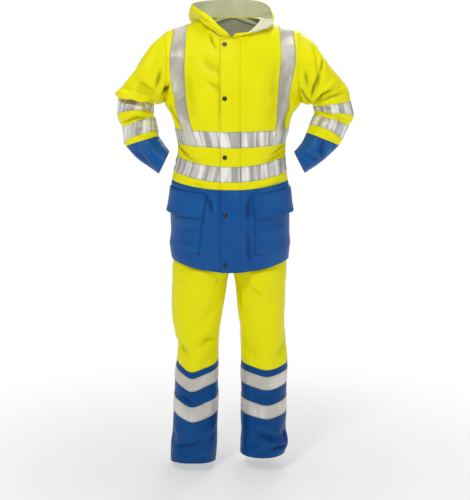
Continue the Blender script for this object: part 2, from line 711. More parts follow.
def crossed(corners: Array) -> Array:
    """Cross product of each square's diagonals: twice its area, along its normal."""
    return np.cross(corners[:, 2] - corners[:, 0], corners[:, 3] - corners[:, 1])


def fold_heights(points: Array, folds: Iterable[Fold]) -> Array:
    """Sum of the broad folds: each is a bell across its line that fades past its ends."""
    height = np.zeros(len(points))
    for one in folds:
        start = np.array(one.start)
        along = np.array(one.end) - start
        length = np.linalg.norm(along)
        along = along / length
        offset = points - start
        run = offset @ along
        beyond = np.maximum(np.maximum(-run, run - length), 0) / FOLD_REACH
        side = np.linalg.norm(offset - np.outer(run, along), axis=1)
        height += one.height * np.exp(-((side / one.width) ** 2) - (beyond / one.width) ** 2)
    return height


def found_on(points: Array, normals: Array, seen: Seen) -> Crease:
    """Finds a seen crease on the cloth.

    The line of sight through each place of the picture meets the plane of the nearest point that faces the
    camera, in front of any other.

    Args:
        points: Points of the cloth.
        normals: Its normals.
        seen: The crease in the picture.

    Returns:
        The crease on the cloth.
    """
    tilt = math.radians(CAMERA_TILT)
    forward = np.array([0.0, math.cos(tilt), -math.sin(tilt)])
    up = np.array([0.0, math.sin(tilt), math.cos(tilt)])
    offset = points - CAMERA_PLACE
    depth = offset @ forward
    right_of = FOCAL_PIXELS * offset[:, 0] / depth
    above = FOCAL_PIXELS * (offset @ up) / depth
    facing = np.sum(offset * normals, axis=1) < 0
    path = []
    for across, down in seen.places:
        x, y = across - PHOTO_SIZE[0] / 2, PHOTO_SIZE[1] / 2 - down
        apart = np.where(facing, np.hypot(right_of - x, above - y), np.inf)
        close = apart < apart.min() + SIGHT_RADIUS
        shown = close & (depth < depth[close].min() + SIGHT_DEPTH)
        nearest = int(np.argmin(np.where(shown, apart, np.inf)))
        ray = forward + (x / FOCAL_PIXELS) * np.array([1.0, 0.0, 0.0]) + (y / FOCAL_PIXELS) * up
        reach = (offset[nearest] @ normals[nearest]) / (ray @ normals[nearest])
        place = CAMERA_PLACE + reach * ray
        slack = np.linalg.norm(place - points[nearest])
        path.append(tuple(place if slack < SIGHT_SLACK else points[nearest]))
    return Crease(tuple(path), seen.width, seen.height)


def crease_heights(points: Array, normals: Array, creases: Iterable[Crease]) -> tuple[Array, Array]:
    """Sum of the fine creases, and how tightly the cloth is pinched in them.

    The distance to the nearest stretch of the path, measured within the cloth's own plane, gives a bell with
    a low shoulder on each side. The depth swells towards the middle of the path and fades towards its ends.
    Only narrow troughs pinch the cloth.

    Args:
        points: Points of the cloth.
        normals: Its normals.
        creases: Creases to add.

    Returns:
        Height at each point, and pinch from 0 to 1.
    """
    height = np.zeros(len(points))
    pinch = np.zeros(len(points))
    for one in creases:
        path = np.array(one.path)
        steps = np.linalg.norm(np.diff(path, axis=0), axis=1)
        whole = steps.sum()
        near = np.full(len(points), np.inf)
        place = np.zeros(len(points))
        for index, length in enumerate(steps):
            along = (path[index + 1] - path[index]) / length
            offset = points - path[index]
            run = offset @ along
            kept = np.clip(run, 0, length)
            apart = offset - kept[:, None] * along
            depth = np.sum(apart * normals, axis=1)
            beside = np.linalg.norm(apart - depth[:, None] * normals, axis=1)
            distance = np.hypot(beside, np.maximum(np.abs(depth) - CREASE_BED, 0))
            closer = distance < near
            near = np.where(closer, distance, near)
            place = np.where(closer, (steps[:index].sum() + kept) / whole, place)
        across = CREASE_SHARPNESS * near / one.width
        shoulder = SHOULDER_RISE * np.exp(-(((across - SHOULDER_PLACE) / SHOULDER_WIDTH) ** 2))
        profile = np.exp(-(across**CREASE_POWER)) - shoulder
        swell = END_SHARE + (1 - END_SHARE) * np.sin(math.pi * np.clip(place, 0, 1))
        height += CREASE_DEPTH * one.height * profile * swell
        if one.height < 0 and one.width < PINCHED_WIDTH:
            tightness = min(1.0, -one.height / PINCHED_DEPTH)
            bell = np.exp(-((near / (PINCH_WIDTH * one.width)) ** 2))
            pinch = np.maximum(pinch, tightness * swell * bell)
    return height, pinch


def crumple(points: Array, amount: float, seed: int) -> Array:
    """Uneven low swells of stiff cloth: a sum of plane waves, in directions from a fixed seed."""
    draw = np.random.default_rng(seed)
    directions = unit(draw.normal(size=(SWELL_WAVES, 3)))
    lengths = draw.uniform(*SWELL_LENGTHS, SWELL_WAVES)
    phases = draw.uniform(0, 2 * math.pi, SWELL_WAVES)
    waves = np.sin(points @ (directions * (2 * math.pi / lengths)[:, None]).T + phases)
    return amount * (waves * (lengths / SWELL_MIDDLE)).sum(axis=1) / math.sqrt(SWELL_WAVES)


class Sheet(NamedTuple):
    """A grid of one panel: indices of the cloth's points, and the metres run along its rows and columns."""

    index: Array
    metres: Array


class Cloth:
    """Panels that share their edge points: one set of points and normals, cut into pieces later."""

    def __init__(
        self,
        panels: dict[str, list[Array]],
        folds: Iterable[Fold],
        creases: Iterable[Crease | Seen],
        swell: float,
        seed: int,
        kept: Optional[Array] = None,
    ) -> None:
        """Joins the panels and folds the cloth.

        Args:
            panels: Grids of points of each panel.
            folds: Broad folds.
            creases: Fine creases.
            swell: Height of the uneven low swells.
            seed: Seed of those swells.
            kept: Share of the folds that each point of the grids keeps, or nothing where all of it is kept.
        """
        grids = [grid for panel in panels.values() for grid in panel]
        every = np.concatenate([grid.reshape(-1, 3) for grid in grids])
        rounded = np.round(every * 1e6).astype(np.int64)
        _, first, joined = np.unique(rounded, axis=0, return_index=True, return_inverse=True)
        joined = joined.reshape(-1)
        self.places = every[first]
        self.sheets: dict[str, list[Sheet]] = {}
        cursor = 0
        for name, panel in panels.items():
            self.sheets[name] = []
            for grid in panel:
                size = grid.shape[0] * grid.shape[1]
                across = runs_of(grid)
                along = runs_of(grid.transpose(1, 0, 2)).T
                index = joined[cursor : cursor + size].reshape(grid.shape[:2])
                self.sheets[name].append(Sheet(index, np.stack([across, along], axis=-1)))
                cursor += size
        self.normals = self.find_normals()
        share = np.ones(len(self.places)) if kept is None else kept.reshape(-1)[first]
        shape = fold_heights(self.places, folds) * share
        folded = self.places + self.normals * shape[:, None]
        placed = [found_on(folded, self.normals, one) if isinstance(one, Seen) else one for one in creases]
        creased, pinch = crease_heights(self.places, self.normals, placed)
        self.pinch = pinch * share
        self.relief = (creased + crumple(self.places, swell, seed)) * share
        self.places = self.places + self.normals * (shape + self.relief)[:, None]
        self.normals = self.find_normals()

    def find_normals(self) -> Array:
        """Mean direction of the faces round each point, by the cross product of each square's diagonals."""
        total = np.zeros_like(self.places)
        for name in self.sheets:
            quads = self.quads(name)
            face = crossed(self.places[quads])
            for corner in range(4):
                np.add.at(total, quads[:, corner], face)
        return unit(total)

    def quads(self, name: str) -> Array:
        """Squares of one panel, as indices of the cloth's points."""
        sheets = self.sheets[name]
        return np.concatenate([one.index.reshape(-1)[grid_quads(*one.index.shape)] for one in sheets])

    def part(self, name: str, rows: slice, columns: slice, grid: int = 0) -> Sheet:
        """Some rows and columns of a panel's grid."""
        sheet = self.sheets[name][grid]
        return Sheet(sheet.index[rows, columns], sheet.metres[rows, columns])


def open_edges(quads: Array, count: int) -> Array:
    """Directed edges that only one face has, as pairs of point indices."""
    ends = np.concatenate([quads[:, [corner, (corner + 1) % 4]] for corner in range(4)])
    forward = ends[:, 0] * count + ends[:, 1]
    backward = ends[:, 1] * count + ends[:, 0]
    return ends[~np.isin(forward, backward)]


def drawn_in(points: Array, quads: Array, rim: Array, amount: float) -> Array:
    """Moves the points of the open edges into the cloth by an amount, square to the edge.

    Args:
        points: Points of the piece.
        quads: Its squares.
        rim: Its open edges.
        amount: How far to move.

    Returns:
        The moved points.
    """
    centre = points[quads].mean(axis=1)
    toward = np.zeros_like(points)
    for corner in range(4):
        np.add.at(toward, quads[:, corner], centre - points[quads[:, corner]])
    along = np.zeros_like(points)
    step = unit(points[rim[:, 1]] - points[rim[:, 0]])
    np.add.at(along, rim[:, 0], step)
    np.add.at(along, rim[:, 1], step)
    along = unit(along)
    inward = unit(toward - np.sum(toward * along, axis=1, keepdims=True) * along)
    moved = points.copy()
    edge = np.unique(rim)
    moved[edge] += amount * inward[edge]
    return moved


def rim_distance(points: Array, quads: Array, rim: Array) -> Array:
    """Distance of each point to the open edge: nought on it, true beside it, and a metre farther in."""
    distance = np.ones(len(points))
    distance[np.unique(rim)] = 0
    on_rim = distance == 0
    for step in (1, 2, 3):
        for corner in range(4):
            here, there = quads[:, corner], quads[:, (corner + step) % 4]
            wanted = ~on_rim[here] & on_rim[there]
            gap = np.linalg.norm(points[here[wanted]] - points[there[wanted]], axis=1)
            np.minimum.at(distance, here[wanted], gap)
    return distance


@dataclass
class Piece:
    """One closed shell of cloth or tape, ready to become a mesh."""

    name: str
    points: Array
    faces: Array
    corners: Array
    inside: Array
    rim: Array
    edge: Array
    relief: Array
    pinch: Array
    tops: list[tuple[Array, Array]]


def make_piece(
    cloth: Cloth,
    name: str,
    sheets: Sequence[Sheet],
    low: float | Sequence[Array],
    thickness: float | Sequence[Array],
    hem: float = 0.0,
) -> Piece:
    """Cuts some grids out of the cloth and gives them two faces and a rim.

    Args:
        cloth: The cloth that they lie on.
        name: The piece's name.
        sheets: Grids of the piece, which share points where they meet.
        low: Height of the lower face above the cloth, one number or one array per grid.
        thickness: Thickness of the piece, in the same form.
        hem: How far the edges are drawn in.

    Returns:
        The closed piece.
    """
    used, local = np.unique(np.concatenate([one.index.reshape(-1) for one in sheets]), return_inverse=True)
    places, normals = cloth.places[used], cloth.normals[used]
    lift, depth = np.zeros(len(used)), np.zeros(len(used))
    quads, corners, tops, cursor = [], [], [], 0
    for number, one in enumerate(sheets):
        rows, columns = one.index.shape
        mine = local[cursor : cursor + rows * columns].reshape(rows, columns)
        cursor += rows * columns
        lift[mine] = low if isinstance(low, float) else low[number]
        depth[mine] = thickness if isinstance(thickness, float) else thickness[number]
        square = grid_quads(rows, columns)
        quads.append(mine.reshape(-1)[square])
        corners.append(one.metres.reshape(-1, 2)[square])
        tops.append(mine)
    square, corner = np.concatenate(quads), np.concatenate(corners)
    rim = open_edges(square, len(used))
    flat = drawn_in(places, square, rim, hem) if hem else places
    inner = flat + normals * lift[:, None]
    outer = inner + normals * depth[:, None]
    count = len(used)
    sides = np.stack([rim[:, 1], rim[:, 0], rim[:, 0] + count, rim[:, 1] + count], axis=1)
    uv_of = np.zeros((count, 2))
    uv_of[square.reshape(-1)] = corner.reshape(-1, 2)
    return Piece(
        name=name,
        points=np.concatenate([outer, inner]),
        faces=np.concatenate([square, square[:, ::-1] + count, sides]),
        corners=np.concatenate([corner, corner[:, ::-1], uv_of[sides % count]]),
        inside=np.repeat([False, True, False], [len(square), len(square), len(sides)]),
        rim=np.repeat([False, False, True], [len(square), len(square), len(sides)]),
        edge=np.tile(rim_distance(places, square, rim), 2),
        relief=np.tile(cloth.relief[used], 2),
        pinch=np.tile(cloth.pinch[used], 2),
        tops=[(outer[mine], normals[mine]) for mine in tops],
    )


def put_mesh(
    name: str,
    points: Array,
    faces: Array,
    materials: Sequence[bpy.types.Material],
    corners: Optional[Array] = None,
    inside: Optional[Array] = None,
    rim: Optional[Array] = None,
    measures: Optional[dict[str, Array]] = None,
) -> bpy.types.Object:
    """Puts faces of one size into a new mesh object at the origin.

    Args:
        name: Object's name.
        points: Points, in the row's frame.
        faces: Point indices, one row per face.
        materials: Outer finish, and the inner one if the piece has one.
        corners: Coordinates in metres of each face's corners.
        inside: Which faces take the second finish.
        rim: Which faces stay flat, so that the cloth's edge is crisp.
        measures: Numbers kept on each point, by name.

    Returns:
        The object.
    """
    mesh = bpy.data.meshes.new(name)
    size = faces.shape[1]
    mesh.vertices.add(len(points))
    mesh.vertices.foreach_set("co", points.astype(np.float32).reshape(-1))
    mesh.loops.add(faces.size)
    mesh.loops.foreach_set("vertex_index", faces.astype(np.int32).reshape(-1))
    mesh.polygons.add(len(faces))
    mesh.polygons.foreach_set("loop_start", np.arange(0, faces.size, size, dtype=np.int32))
    smooth_faces = np.ones(len(faces), bool) if rim is None else ~rim
    mesh.polygons.foreach_set("use_smooth", smooth_faces)
    if inside is not None:
        mesh.polygons.foreach_set("material_index", inside.astype(np.int32))
    mesh.update(calc_edges=True)
    if corners is not None:
        layer = mesh.uv_layers.new(name="metres")
        layer.uv.foreach_set("vector", corners.astype(np.float32).reshape(-1))
    for label, values in (measures or {}).items():
        attribute = mesh.attributes.new(label, "FLOAT", "POINT")
        attribute.data.foreach_set("value", values.astype(np.float32))
    for material in materials:
        mesh.materials.append(material)
    mesh.validate()
    piece = bpy.data.objects.new(name, mesh)
    bpy.context.scene.collection.objects.link(piece)
    return piece


class Value:
    """A shader socket whose arithmetic adds Math nodes."""

    def __init__(self, bench: "NodeBench", socket: bpy.types.NodeSocket) -> None:
        """Wraps one output socket."""
        self.bench = bench
        self.socket = socket

    def math(self, operation: str, *others: Union["Value", float], swap: bool = False) -> "Value":
        """Adds one Math node on this value and others."""
        values = [self, *others][::-1] if swap else [self, *others]
        inputs = {number: value for number, value in enumerate(values)}
        return self.bench.value("ShaderNodeMath", {"operation": operation}, inputs)

    def __add__(self, other: Union["Value", float]) -> "Value":
        """Sum."""
        return self.math("ADD", other)

    __radd__ = __add__

    def __mul__(self, other: Union["Value", float]) -> "Value":
        """Product."""
        return self.math("MULTIPLY", other)

    __rmul__ = __mul__

    def __sub__(self, other: Union["Value", float]) -> "Value":
        """Difference."""
        return self.math("SUBTRACT", other)

    def __rsub__(self, other: Union["Value", float]) -> "Value":
        """Difference the other way round."""
        return self.math("SUBTRACT", other, swap=True)

    def __truediv__(self, other: Union["Value", float]) -> "Value":
        """Quotient."""
        return self.math("DIVIDE", other)

    def between(self, low: float, high: float) -> "Value":
        """Rises smoothly from 0 at low to 1 at high."""
        settings = {"interpolation_type": "SMOOTHSTEP"}
        limits = {"Value": self, "From Min": low, "From Max": high}
        return self.bench.value("ShaderNodeMapRange", settings, limits)


class NodeBench:
    """Builds one material's nodes."""

    def __init__(self, name: str) -> None:
        """Starts a material with its surface shader and coordinates."""
        self.material = bpy.data.materials.new(name)
        self.material.use_nodes = True
        self.tree = self.material.node_tree
        self.shader = self.tree.nodes["Principled BSDF"]
        self.object_place = self.add("ShaderNodeTexCoord").outputs["Object"]

    def add(
        self, kind: str, settings: Optional[dict] = None, inputs: Optional[dict] = None
    ) -> bpy.types.ShaderNode:
        """Adds a node.

        Args:
            kind: The node's type.
            settings: Its properties, set first.
            inputs: Values or links of its sockets, by name or number.

        Returns:
            The node.
        """
        node = self.tree.nodes.new(kind)
        for key, value in (settings or {}).items():
            setattr(node, key, value)
        for key, value in (inputs or {}).items():
            self.feed(node.inputs[key], value)
        return node

    def feed(self, socket: bpy.types.NodeSocket, value: object) -> None:
        """Links a socket, or sets its number or colour."""
        if isinstance(value, Value):
            value = value.socket
        if isinstance(value, bpy.types.NodeSocket):
            self.tree.links.new(value, socket)
        else:
            socket.default_value = value

    def value(self, kind: str, settings: Optional[dict] = None, inputs: Optional[dict] = None) -> Value:
        """Adds a node and wraps its first output."""
        return Value(self, self.add(kind, settings, inputs).outputs[0])

    def noise(self, scale: float, detail: float = 2.0, place: object = None, rough: float = 0.5) -> Value:
        """Noise over the object's coordinates, or over another vector."""
        inputs = {"Vector": place or self.object_place, "Scale": scale, "Detail": detail, "Roughness": rough}
        return Value(self, self.add("ShaderNodeTexNoise", None, inputs).outputs["Fac"])

    def measure(self, name: str) -> Value:
        """A number kept on the piece's points."""
        return Value(self, self.add("ShaderNodeAttribute", {"attribute_name": name}).outputs["Fac"])

    def metres(self, across: float = 1.0, along: float = 1.0) -> bpy.types.NodeSocket:
        """The piece's own coordinates in metres, stretched by a number each way."""
        uv = self.add("ShaderNodeUVMap", {"uv_map": "metres"}).outputs["UV"]
        inputs = {"Vector": uv, "Scale": (across, along, 1)}
        return self.add("ShaderNodeMapping", None, inputs).outputs["Vector"]

    def mix(self, share: Value, low: object, high: object) -> bpy.types.NodeSocket:
        """Mixes two colours."""
        node = self.add("ShaderNodeMix", {"data_type": "RGBA"}, {0: share})
        self.feed(node.inputs[6], rgba(low))
        self.feed(node.inputs[7], rgba(high))
        return node.outputs[2]

    def bump(
        self, height: Value, strength: float, distance: float, normal: object = None
    ) -> bpy.types.NodeSocket:
        """Turns a height into a normal, on top of another normal if one is given."""
        inputs = {"Height": height, "Strength": strength, "Distance": distance}
        if normal is not None:
            inputs["Normal"] = normal
        return self.add("ShaderNodeBump", None, inputs).outputs["Normal"]

    def surface(self, **values: object) -> bpy.types.Material:
        """Feeds the surface shader by socket name, with low lines for spaces, and returns the material."""
        for key, value in values.items():
            self.feed(self.shader.inputs[key.replace("_", " ").title().replace("Ior", "IOR")], value)
        return self.material


def rgba(colour: object) -> object:
    """Adds a full alpha to a plain colour, and leaves a socket alone."""
    return (*colour, 1.0) if isinstance(colour, tuple) and len(colour) == 3 else colour


@dataclass(frozen=True)
class CoatedCloth:
    """Smooth coated cloth: a fine pebbled film that is paler on worn ridges and deeper in creases."""

    name: str
    colour: Colour
    deep: Colour
    fold: Colour
    pale: Colour
    glow: float
    roughness: float
    gloss: float
    shade: float = 1.0

    def build(self) -> bpy.types.Material:
        """Makes the material."""
        bench = NodeBench(self.name)
        relief = bench.measure("relief")
        edge = bench.measure("edge")
        cloudy = bench.noise(scale=9.0, detail=3.0)
        trough = (relief * -1.0).between(0.0005, 0.0060)
        ridge = relief.between(0.0005, 0.0055)
        colour = bench.mix(cloudy.between(0.35, 0.75) * 0.45, self.colour, self.pale)
        colour = bench.mix(ridge * 0.35, colour, self.pale)
        colour = bench.mix(trough * (0.42 * self.shade), colour, self.deep)
        groove = 1.0 - edge.between(0.0003, 0.0014)
        colour = bench.mix(groove * 0.25, colour, self.deep)
        pinch = bench.measure("pinch").between(0.05, 0.95)
        colour = bench.mix(pinch * (0.85 * self.shade), colour, self.fold)
        grain = bench.noise(scale=620.0, detail=3.0, rough=0.6)
        crumples = bench.noise(scale=34.0, detail=4.0, rough=0.55)
        normal = bench.bump(edge.between(0.0, 0.0025), strength=0.6, distance=0.0008)
        normal = bench.bump(crumples, strength=0.45, distance=0.0024, normal=normal)
        normal = bench.bump(grain, strength=0.18, distance=0.00025, normal=normal)
        rough = cloudy * 0.16 + (self.roughness - 0.08) + grain * 0.06
        return bench.surface(
            base_color=colour,
            roughness=rough,
            normal=normal,
            emission_color=colour,
            emission_strength=self.glow,
            specular_ior_level=self.gloss,
        )


@dataclass(frozen=True)
class ClothBacking:
    """The uncoated inner face: a matt fine weave, tinted by the colour that shows through."""

    name: str
    colour: Colour
    shade: Colour
    yarn_scale: float = 260.0

    def build(self) -> bpy.types.Material:
        """Makes the material."""
        bench = NodeBench(self.name)
        across, along = (self.yarns(bench, way) for way in "XY")
        weave = across * along
        cloudy = bench.noise(scale=12.0, detail=3.0).between(0.3, 0.7)
        colour = bench.mix(cloudy * 0.5 + weave * 0.25, self.colour, self.shade)
        normal = bench.bump(weave, strength=0.35, distance=0.0003)
        crumples = bench.noise(scale=45.0, detail=3.0)
        normal = bench.bump(crumples, strength=0.25, distance=0.0015, normal=normal)
        return bench.surface(base_color=colour, roughness=0.85, normal=normal, specular_ior_level=0.2)

    def yarns(self, bench: NodeBench, way: str) -> Value:
        """Waves of the yarns that lie one way."""
        inputs = {"Vector": bench.metres(), "Scale": self.yarn_scale}
        return Value(bench, bench.add("ShaderNodeTexWave", {"bands_direction": way}, inputs).outputs["Fac"])


@dataclass(frozen=True)
class ReflectiveTape:
    """Silver glass-bead tape: satin, with lighter and darker streaks across it and pressed edges."""

    name: str
    dark: Colour
    light: Colour
    streaks: tuple[float, float]
    fine_streaks: tuple[float, float] = (4.5, 1.6)
    margin: Colour = (0.34, 0.33, 0.32)

    def build(self) -> bpy.types.Material:
        """Makes the material."""
        bench = NodeBench(self.name)
        edge = bench.measure("edge")
        relief = bench.measure("relief")
        across, along = self.streaks
        broad = bench.noise(scale=1.0, detail=2.0, place=bench.metres(across, along), rough=0.55)
        place = bench.metres(across * self.fine_streaks[0], along * self.fine_streaks[1])
        fine = bench.noise(scale=1.0, detail=3.0, place=place, rough=0.6)
        streak = (broad * 0.75 + fine * 0.25).between(0.36, 0.64)
        streak = streak * 0.85 + relief.between(-0.004, 0.004) * 0.30 - 0.08
        colour = bench.mix(streak.between(0.0, 1.0), self.dark, self.light)
        rim = 1.0 - edge.between(0.0006, 0.0016)
        colour = bench.mix(rim * 0.22, colour, self.margin)
        beads = bench.noise(scale=1500.0, detail=1.0)
        normal = bench.bump(edge.between(0.0, 0.0020), strength=0.7, distance=0.0006)
        normal = bench.bump(streak, strength=0.25, distance=0.0012, normal=normal)
        normal = bench.bump(beads, strength=0.15, distance=0.00012, normal=normal)
        rough = beads * 0.10 + 0.42
        return bench.surface(
            base_color=colour, roughness=rough, metallic=0.20, normal=normal, specular_ior_level=0.4
        )


@dataclass(frozen=True)
class SnapPlastic:
    """Near black moulded plastic with a soft gloss and faint scuffs."""

    name: str
    colour: Colour
    scuffed: Colour = (0.03, 0.03, 0.033)

    def build(self) -> bpy.types.Material:
        """Makes the material."""
        bench = NodeBench(self.name)
        scuff = bench.noise(scale=900.0, detail=4.0, rough=0.7)
        colour = bench.mix(scuff.between(0.55, 0.75) * 0.4, self.colour, self.scuffed)
        normal = bench.bump(scuff, strength=0.12, distance=0.0001)
        rough = scuff * 0.14 + 0.06
        return bench.surface(
            base_color=colour, roughness=rough, normal=normal, coat_weight=0.6, specular_ior_level=0.2
        )


@dataclass(frozen=True)
class SewingThread:
    """Twisted polyester thread."""

    name: str
    colour: Colour
    shadow: float = 0.6

    def build(self) -> bpy.types.Material:
        """Makes the material."""
        bench = NodeBench(self.name)
        twist = bench.noise(scale=2600.0, detail=1.0)
        dark = tuple(part * self.shadow for part in self.colour)
        colour = bench.mix(twist.between(0.35, 0.65), self.colour, dark)
        rough = twist * 0.2 + 0.5
        normal = bench.bump(twist, strength=0.4, distance=0.0001)
        return bench.surface(base_color=colour, roughness=rough, normal=normal)


@dataclass(frozen=True)
class FloorPaper:
    """Pale studio floor that fades into the light background away from the object."""

    name: str = "floor_paper"
    colour: Colour = (0.86, 0.86, 0.86)
    grey: Colour = (0.82, 0.82, 0.82)
    near: float = 0.4
    far: float = 1.5
    base_glow: float = 0.45

    def build(self) -> bpy.types.Material:
        """Makes the material: the shader gives way to plain white light with the distance from the suit."""
        bench = NodeBench(self.name)
        length = bench.value("ShaderNodeVectorMath", {"operation": "LENGTH"}, {0: bench.object_place})
        length = Value(bench, length.socket.node.outputs["Value"])
        grain = bench.noise(scale=160.0, detail=3.0)
        colour = bench.mix(grain * 0.3, self.colour, self.grey)
        bench.surface(base_color=colour, roughness=0.9, specular_ior_level=0.1)
        glow = bench.add("ShaderNodeEmission", None, {"Color": (1, 1, 1, 1), "Strength": 1.0})
        share = length.between(self.near, self.far) * (1 - self.base_glow) + self.base_glow
        both = bench.add(
            "ShaderNodeMixShader", None, {0: share, 1: bench.shader.outputs[0], 2: glow.outputs[0]}
        )
        bench.feed(bench.tree.nodes["Material Output"].inputs["Surface"], both.outputs[0])
        return bench.material


class Wardrobe:
    """The finishes, each made once."""

    def __init__(self) -> None:
        """Builds every material."""
        yellow = CoatedCloth(
            "yellow_cloth_coated",
            colour=(0.79, 0.755, 0.0),
            deep=(0.44, 0.43, 0.0),
            fold=(0.12, 0.12, 0.0),
            pale=(0.87, 0.80, 0.005),
            glow=0.05,
            roughness=0.46,
            gloss=0.14,
        )
        blue = CoatedCloth(
            "blue_cloth_coated",
            colour=(0.001, 0.078, 0.300),
            deep=(0.0, 0.036, 0.175),
            fold=(0.0, 0.016, 0.075),
            pale=(0.012, 0.135, 0.400),
            glow=0.0,
            roughness=0.42,
            gloss=0.20,
        )
        leg_blue = replace(
            blue,
            name="blue_cloth_coated_leg",
            colour=(0.0, 0.060, 0.235),
            deep=(0.0, 0.030, 0.145),
            pale=(0.005, 0.095, 0.310),
            gloss=0.14,
        )
        leg_yellow = replace(yellow, name="yellow_cloth_coated_leg", shade=0.40)
        self.leg_cloth = {"yellow_cloth": leg_yellow.build(), "blue_cloth": leg_blue.build()}
        self.cloth = {"yellow_cloth": yellow.build(), "blue_cloth": blue.build()}
        backings = {
            "yellow_cloth": ((0.78, 0.79, 0.58), (0.63, 0.65, 0.40)),
            "blue_cloth": ((0.45, 0.50, 0.55), (0.25, 0.32, 0.42)),
        }
        self.backing = {
            slot: ClothBacking(f"{slot}_backing", *looks).build() for slot, looks in backings.items()
        }
        tapes = {
            "band": ((0.37, 0.355, 0.32), (0.95, 0.94, 0.90), (34.0, 2.0)),
            "leg": ((0.56, 0.53, 0.49), (0.76, 0.73, 0.69), (9.0, 6.0)),
            "brace": ((0.40, 0.385, 0.32), (0.74, 0.72, 0.62), (7.0, 5.0)),
        }
        self.tape = {
            name: ReflectiveTape(f"silver_tape_{name}", *looks).build() for name, looks in tapes.items()
        }
        self.snap = SnapPlastic("black_snap_plastic", (0.005, 0.005, 0.006)).build()
        self.thread = {
            "yellow_cloth": SewingThread("yellow_thread", (0.62, 0.62, 0.02)).build(),
            "blue_cloth": SewingThread("blue_thread", (0.012, 0.060, 0.230)).build(),
            "silver_tape": SewingThread("grey_thread", (0.42, 0.42, 0.40)).build(),
        }


class Seamstress:
    """Collects lines of stitches, and sews each colour of thread as one piece."""

    STITCH: ClassVar[float] = 0.0030
    PITCH: ClassVar[float] = 0.0042
    HALF_WIDTH: ClassVar[float] = 0.00042
    HEIGHT: ClassVar[float] = 0.00045

    def __init__(self) -> None:
        """Starts with no lines."""
        self.lines: dict[str, list[tuple[Array, Array]]] = {}

    def sew(self, slot: str, points: Array, normals: Array) -> None:
        """Adds a line of stitches along points that lie on a surface."""
        self.lines.setdefault(slot, []).append((points, normals))

    def sew_row(self, slot: str, top: tuple[Array, Array], inset: float, last: bool = False) -> None:
        """Adds a line along the first or last row of a grid, a distance in from it.

        Args:
            slot: Thread to use.
            top: Points and normals of the grid.
            inset: Distance from the row.
            last: Whether the last row is meant.
        """
        points, normals = (array[::-1] for array in top) if last else top
        runs = runs_of(points.transpose(1, 0, 2))
        wanted = np.full((len(runs), 1), inset)
        line = points_at(points.transpose(1, 0, 2), runs, wanted)[:, 0]
        self.sew(slot, line, normals[0])

    def sew_column(self, slot: str, top: tuple[Array, Array], inset: float, last: bool = False) -> None:
        """The same along a column."""
        points, normals = top
        self.sew_row(slot, (points.transpose(1, 0, 2), normals.transpose(1, 0, 2)), inset, last)

    def sew_edges(self, slot: str, tops: Iterable[tuple[Array, Array]], inset: float) -> None:
        """Adds a line along the first and the last row of each grid."""
        for top in tops:
            self.sew_row(slot, top, inset)
            self.sew_row(slot, top, inset, last=True)

    def places(self, lines: list[tuple[Array, Array]]) -> tuple[Array, Array, Array]:
        """Centres, directions and normals of the stitches, at an even pitch along each line."""
        centres, ways, ups = [], [], []
        for points, normals in lines:
            run = runs_of(points[None])
            count = int(run[0, -1] / self.PITCH)
            if count < 2:
                continue
            at = (np.arange(count) + 0.5) * self.PITCH
            middle = points_at(points[None], run, at[None])[0]
            ahead = points_at(points[None], run, at[None] + self.STITCH / 2)[0]
            centres.append(middle)
            ways.append(unit(ahead - middle))
            ups.append(unit(points_at(normals[None], run, at[None])[0]))
        return np.concatenate(centres), np.concatenate(ways), np.concatenate(ups)

    def finish(self, wardrobe: Wardrobe) -> None:
        """Makes one piece for each thread: every stitch is a six-sided grain, pointed at both ends."""
        for slot, lines in self.lines.items():
            centre, way, up = self.places(lines)
            side = np.cross(up, way)
            turn = np.arange(4) * math.pi / 2
            ring = [(along, math.cos(a), math.sin(a)) for along in (-0.32, 0.32) for a in turn]
            shape = np.array([(-0.5, 0, 0), *ring, (0.5, 0, 0)])
            points = (
                centre[:, None]
                + shape[None, :, :1] * self.STITCH * way[:, None]
                + shape[None, :, 1:2] * self.HALF_WIDTH * side[:, None]
                + shape[None, :, 2:] * self.HEIGHT * up[:, None]
            )
            after = (np.arange(4) + 1) % 4
            near, far = 1 + np.arange(4), 5 + np.arange(4)
            tip = np.stack([np.zeros(4, int), 1 + after, near], axis=1)
            walls = [np.stack([near, 1 + after, 5 + after], axis=1), np.stack([near, 5 + after, far], axis=1)]
            tail = np.stack([np.full(4, 9), far, 5 + after], axis=1)
            one = np.concatenate([tip, *walls, tail])[:, ::-1]
            faces = (one[None] + (np.arange(len(centre)) * 10)[:, None, None]).reshape(-1, 3)
            piece = put_mesh(f"stitching_{slot}", points.reshape(-1, 3), faces, [wardrobe.thread[slot]])
            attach(piece, BODY)
            LOG.info("sewed %d stitches in the %s thread", len(centre), slot)


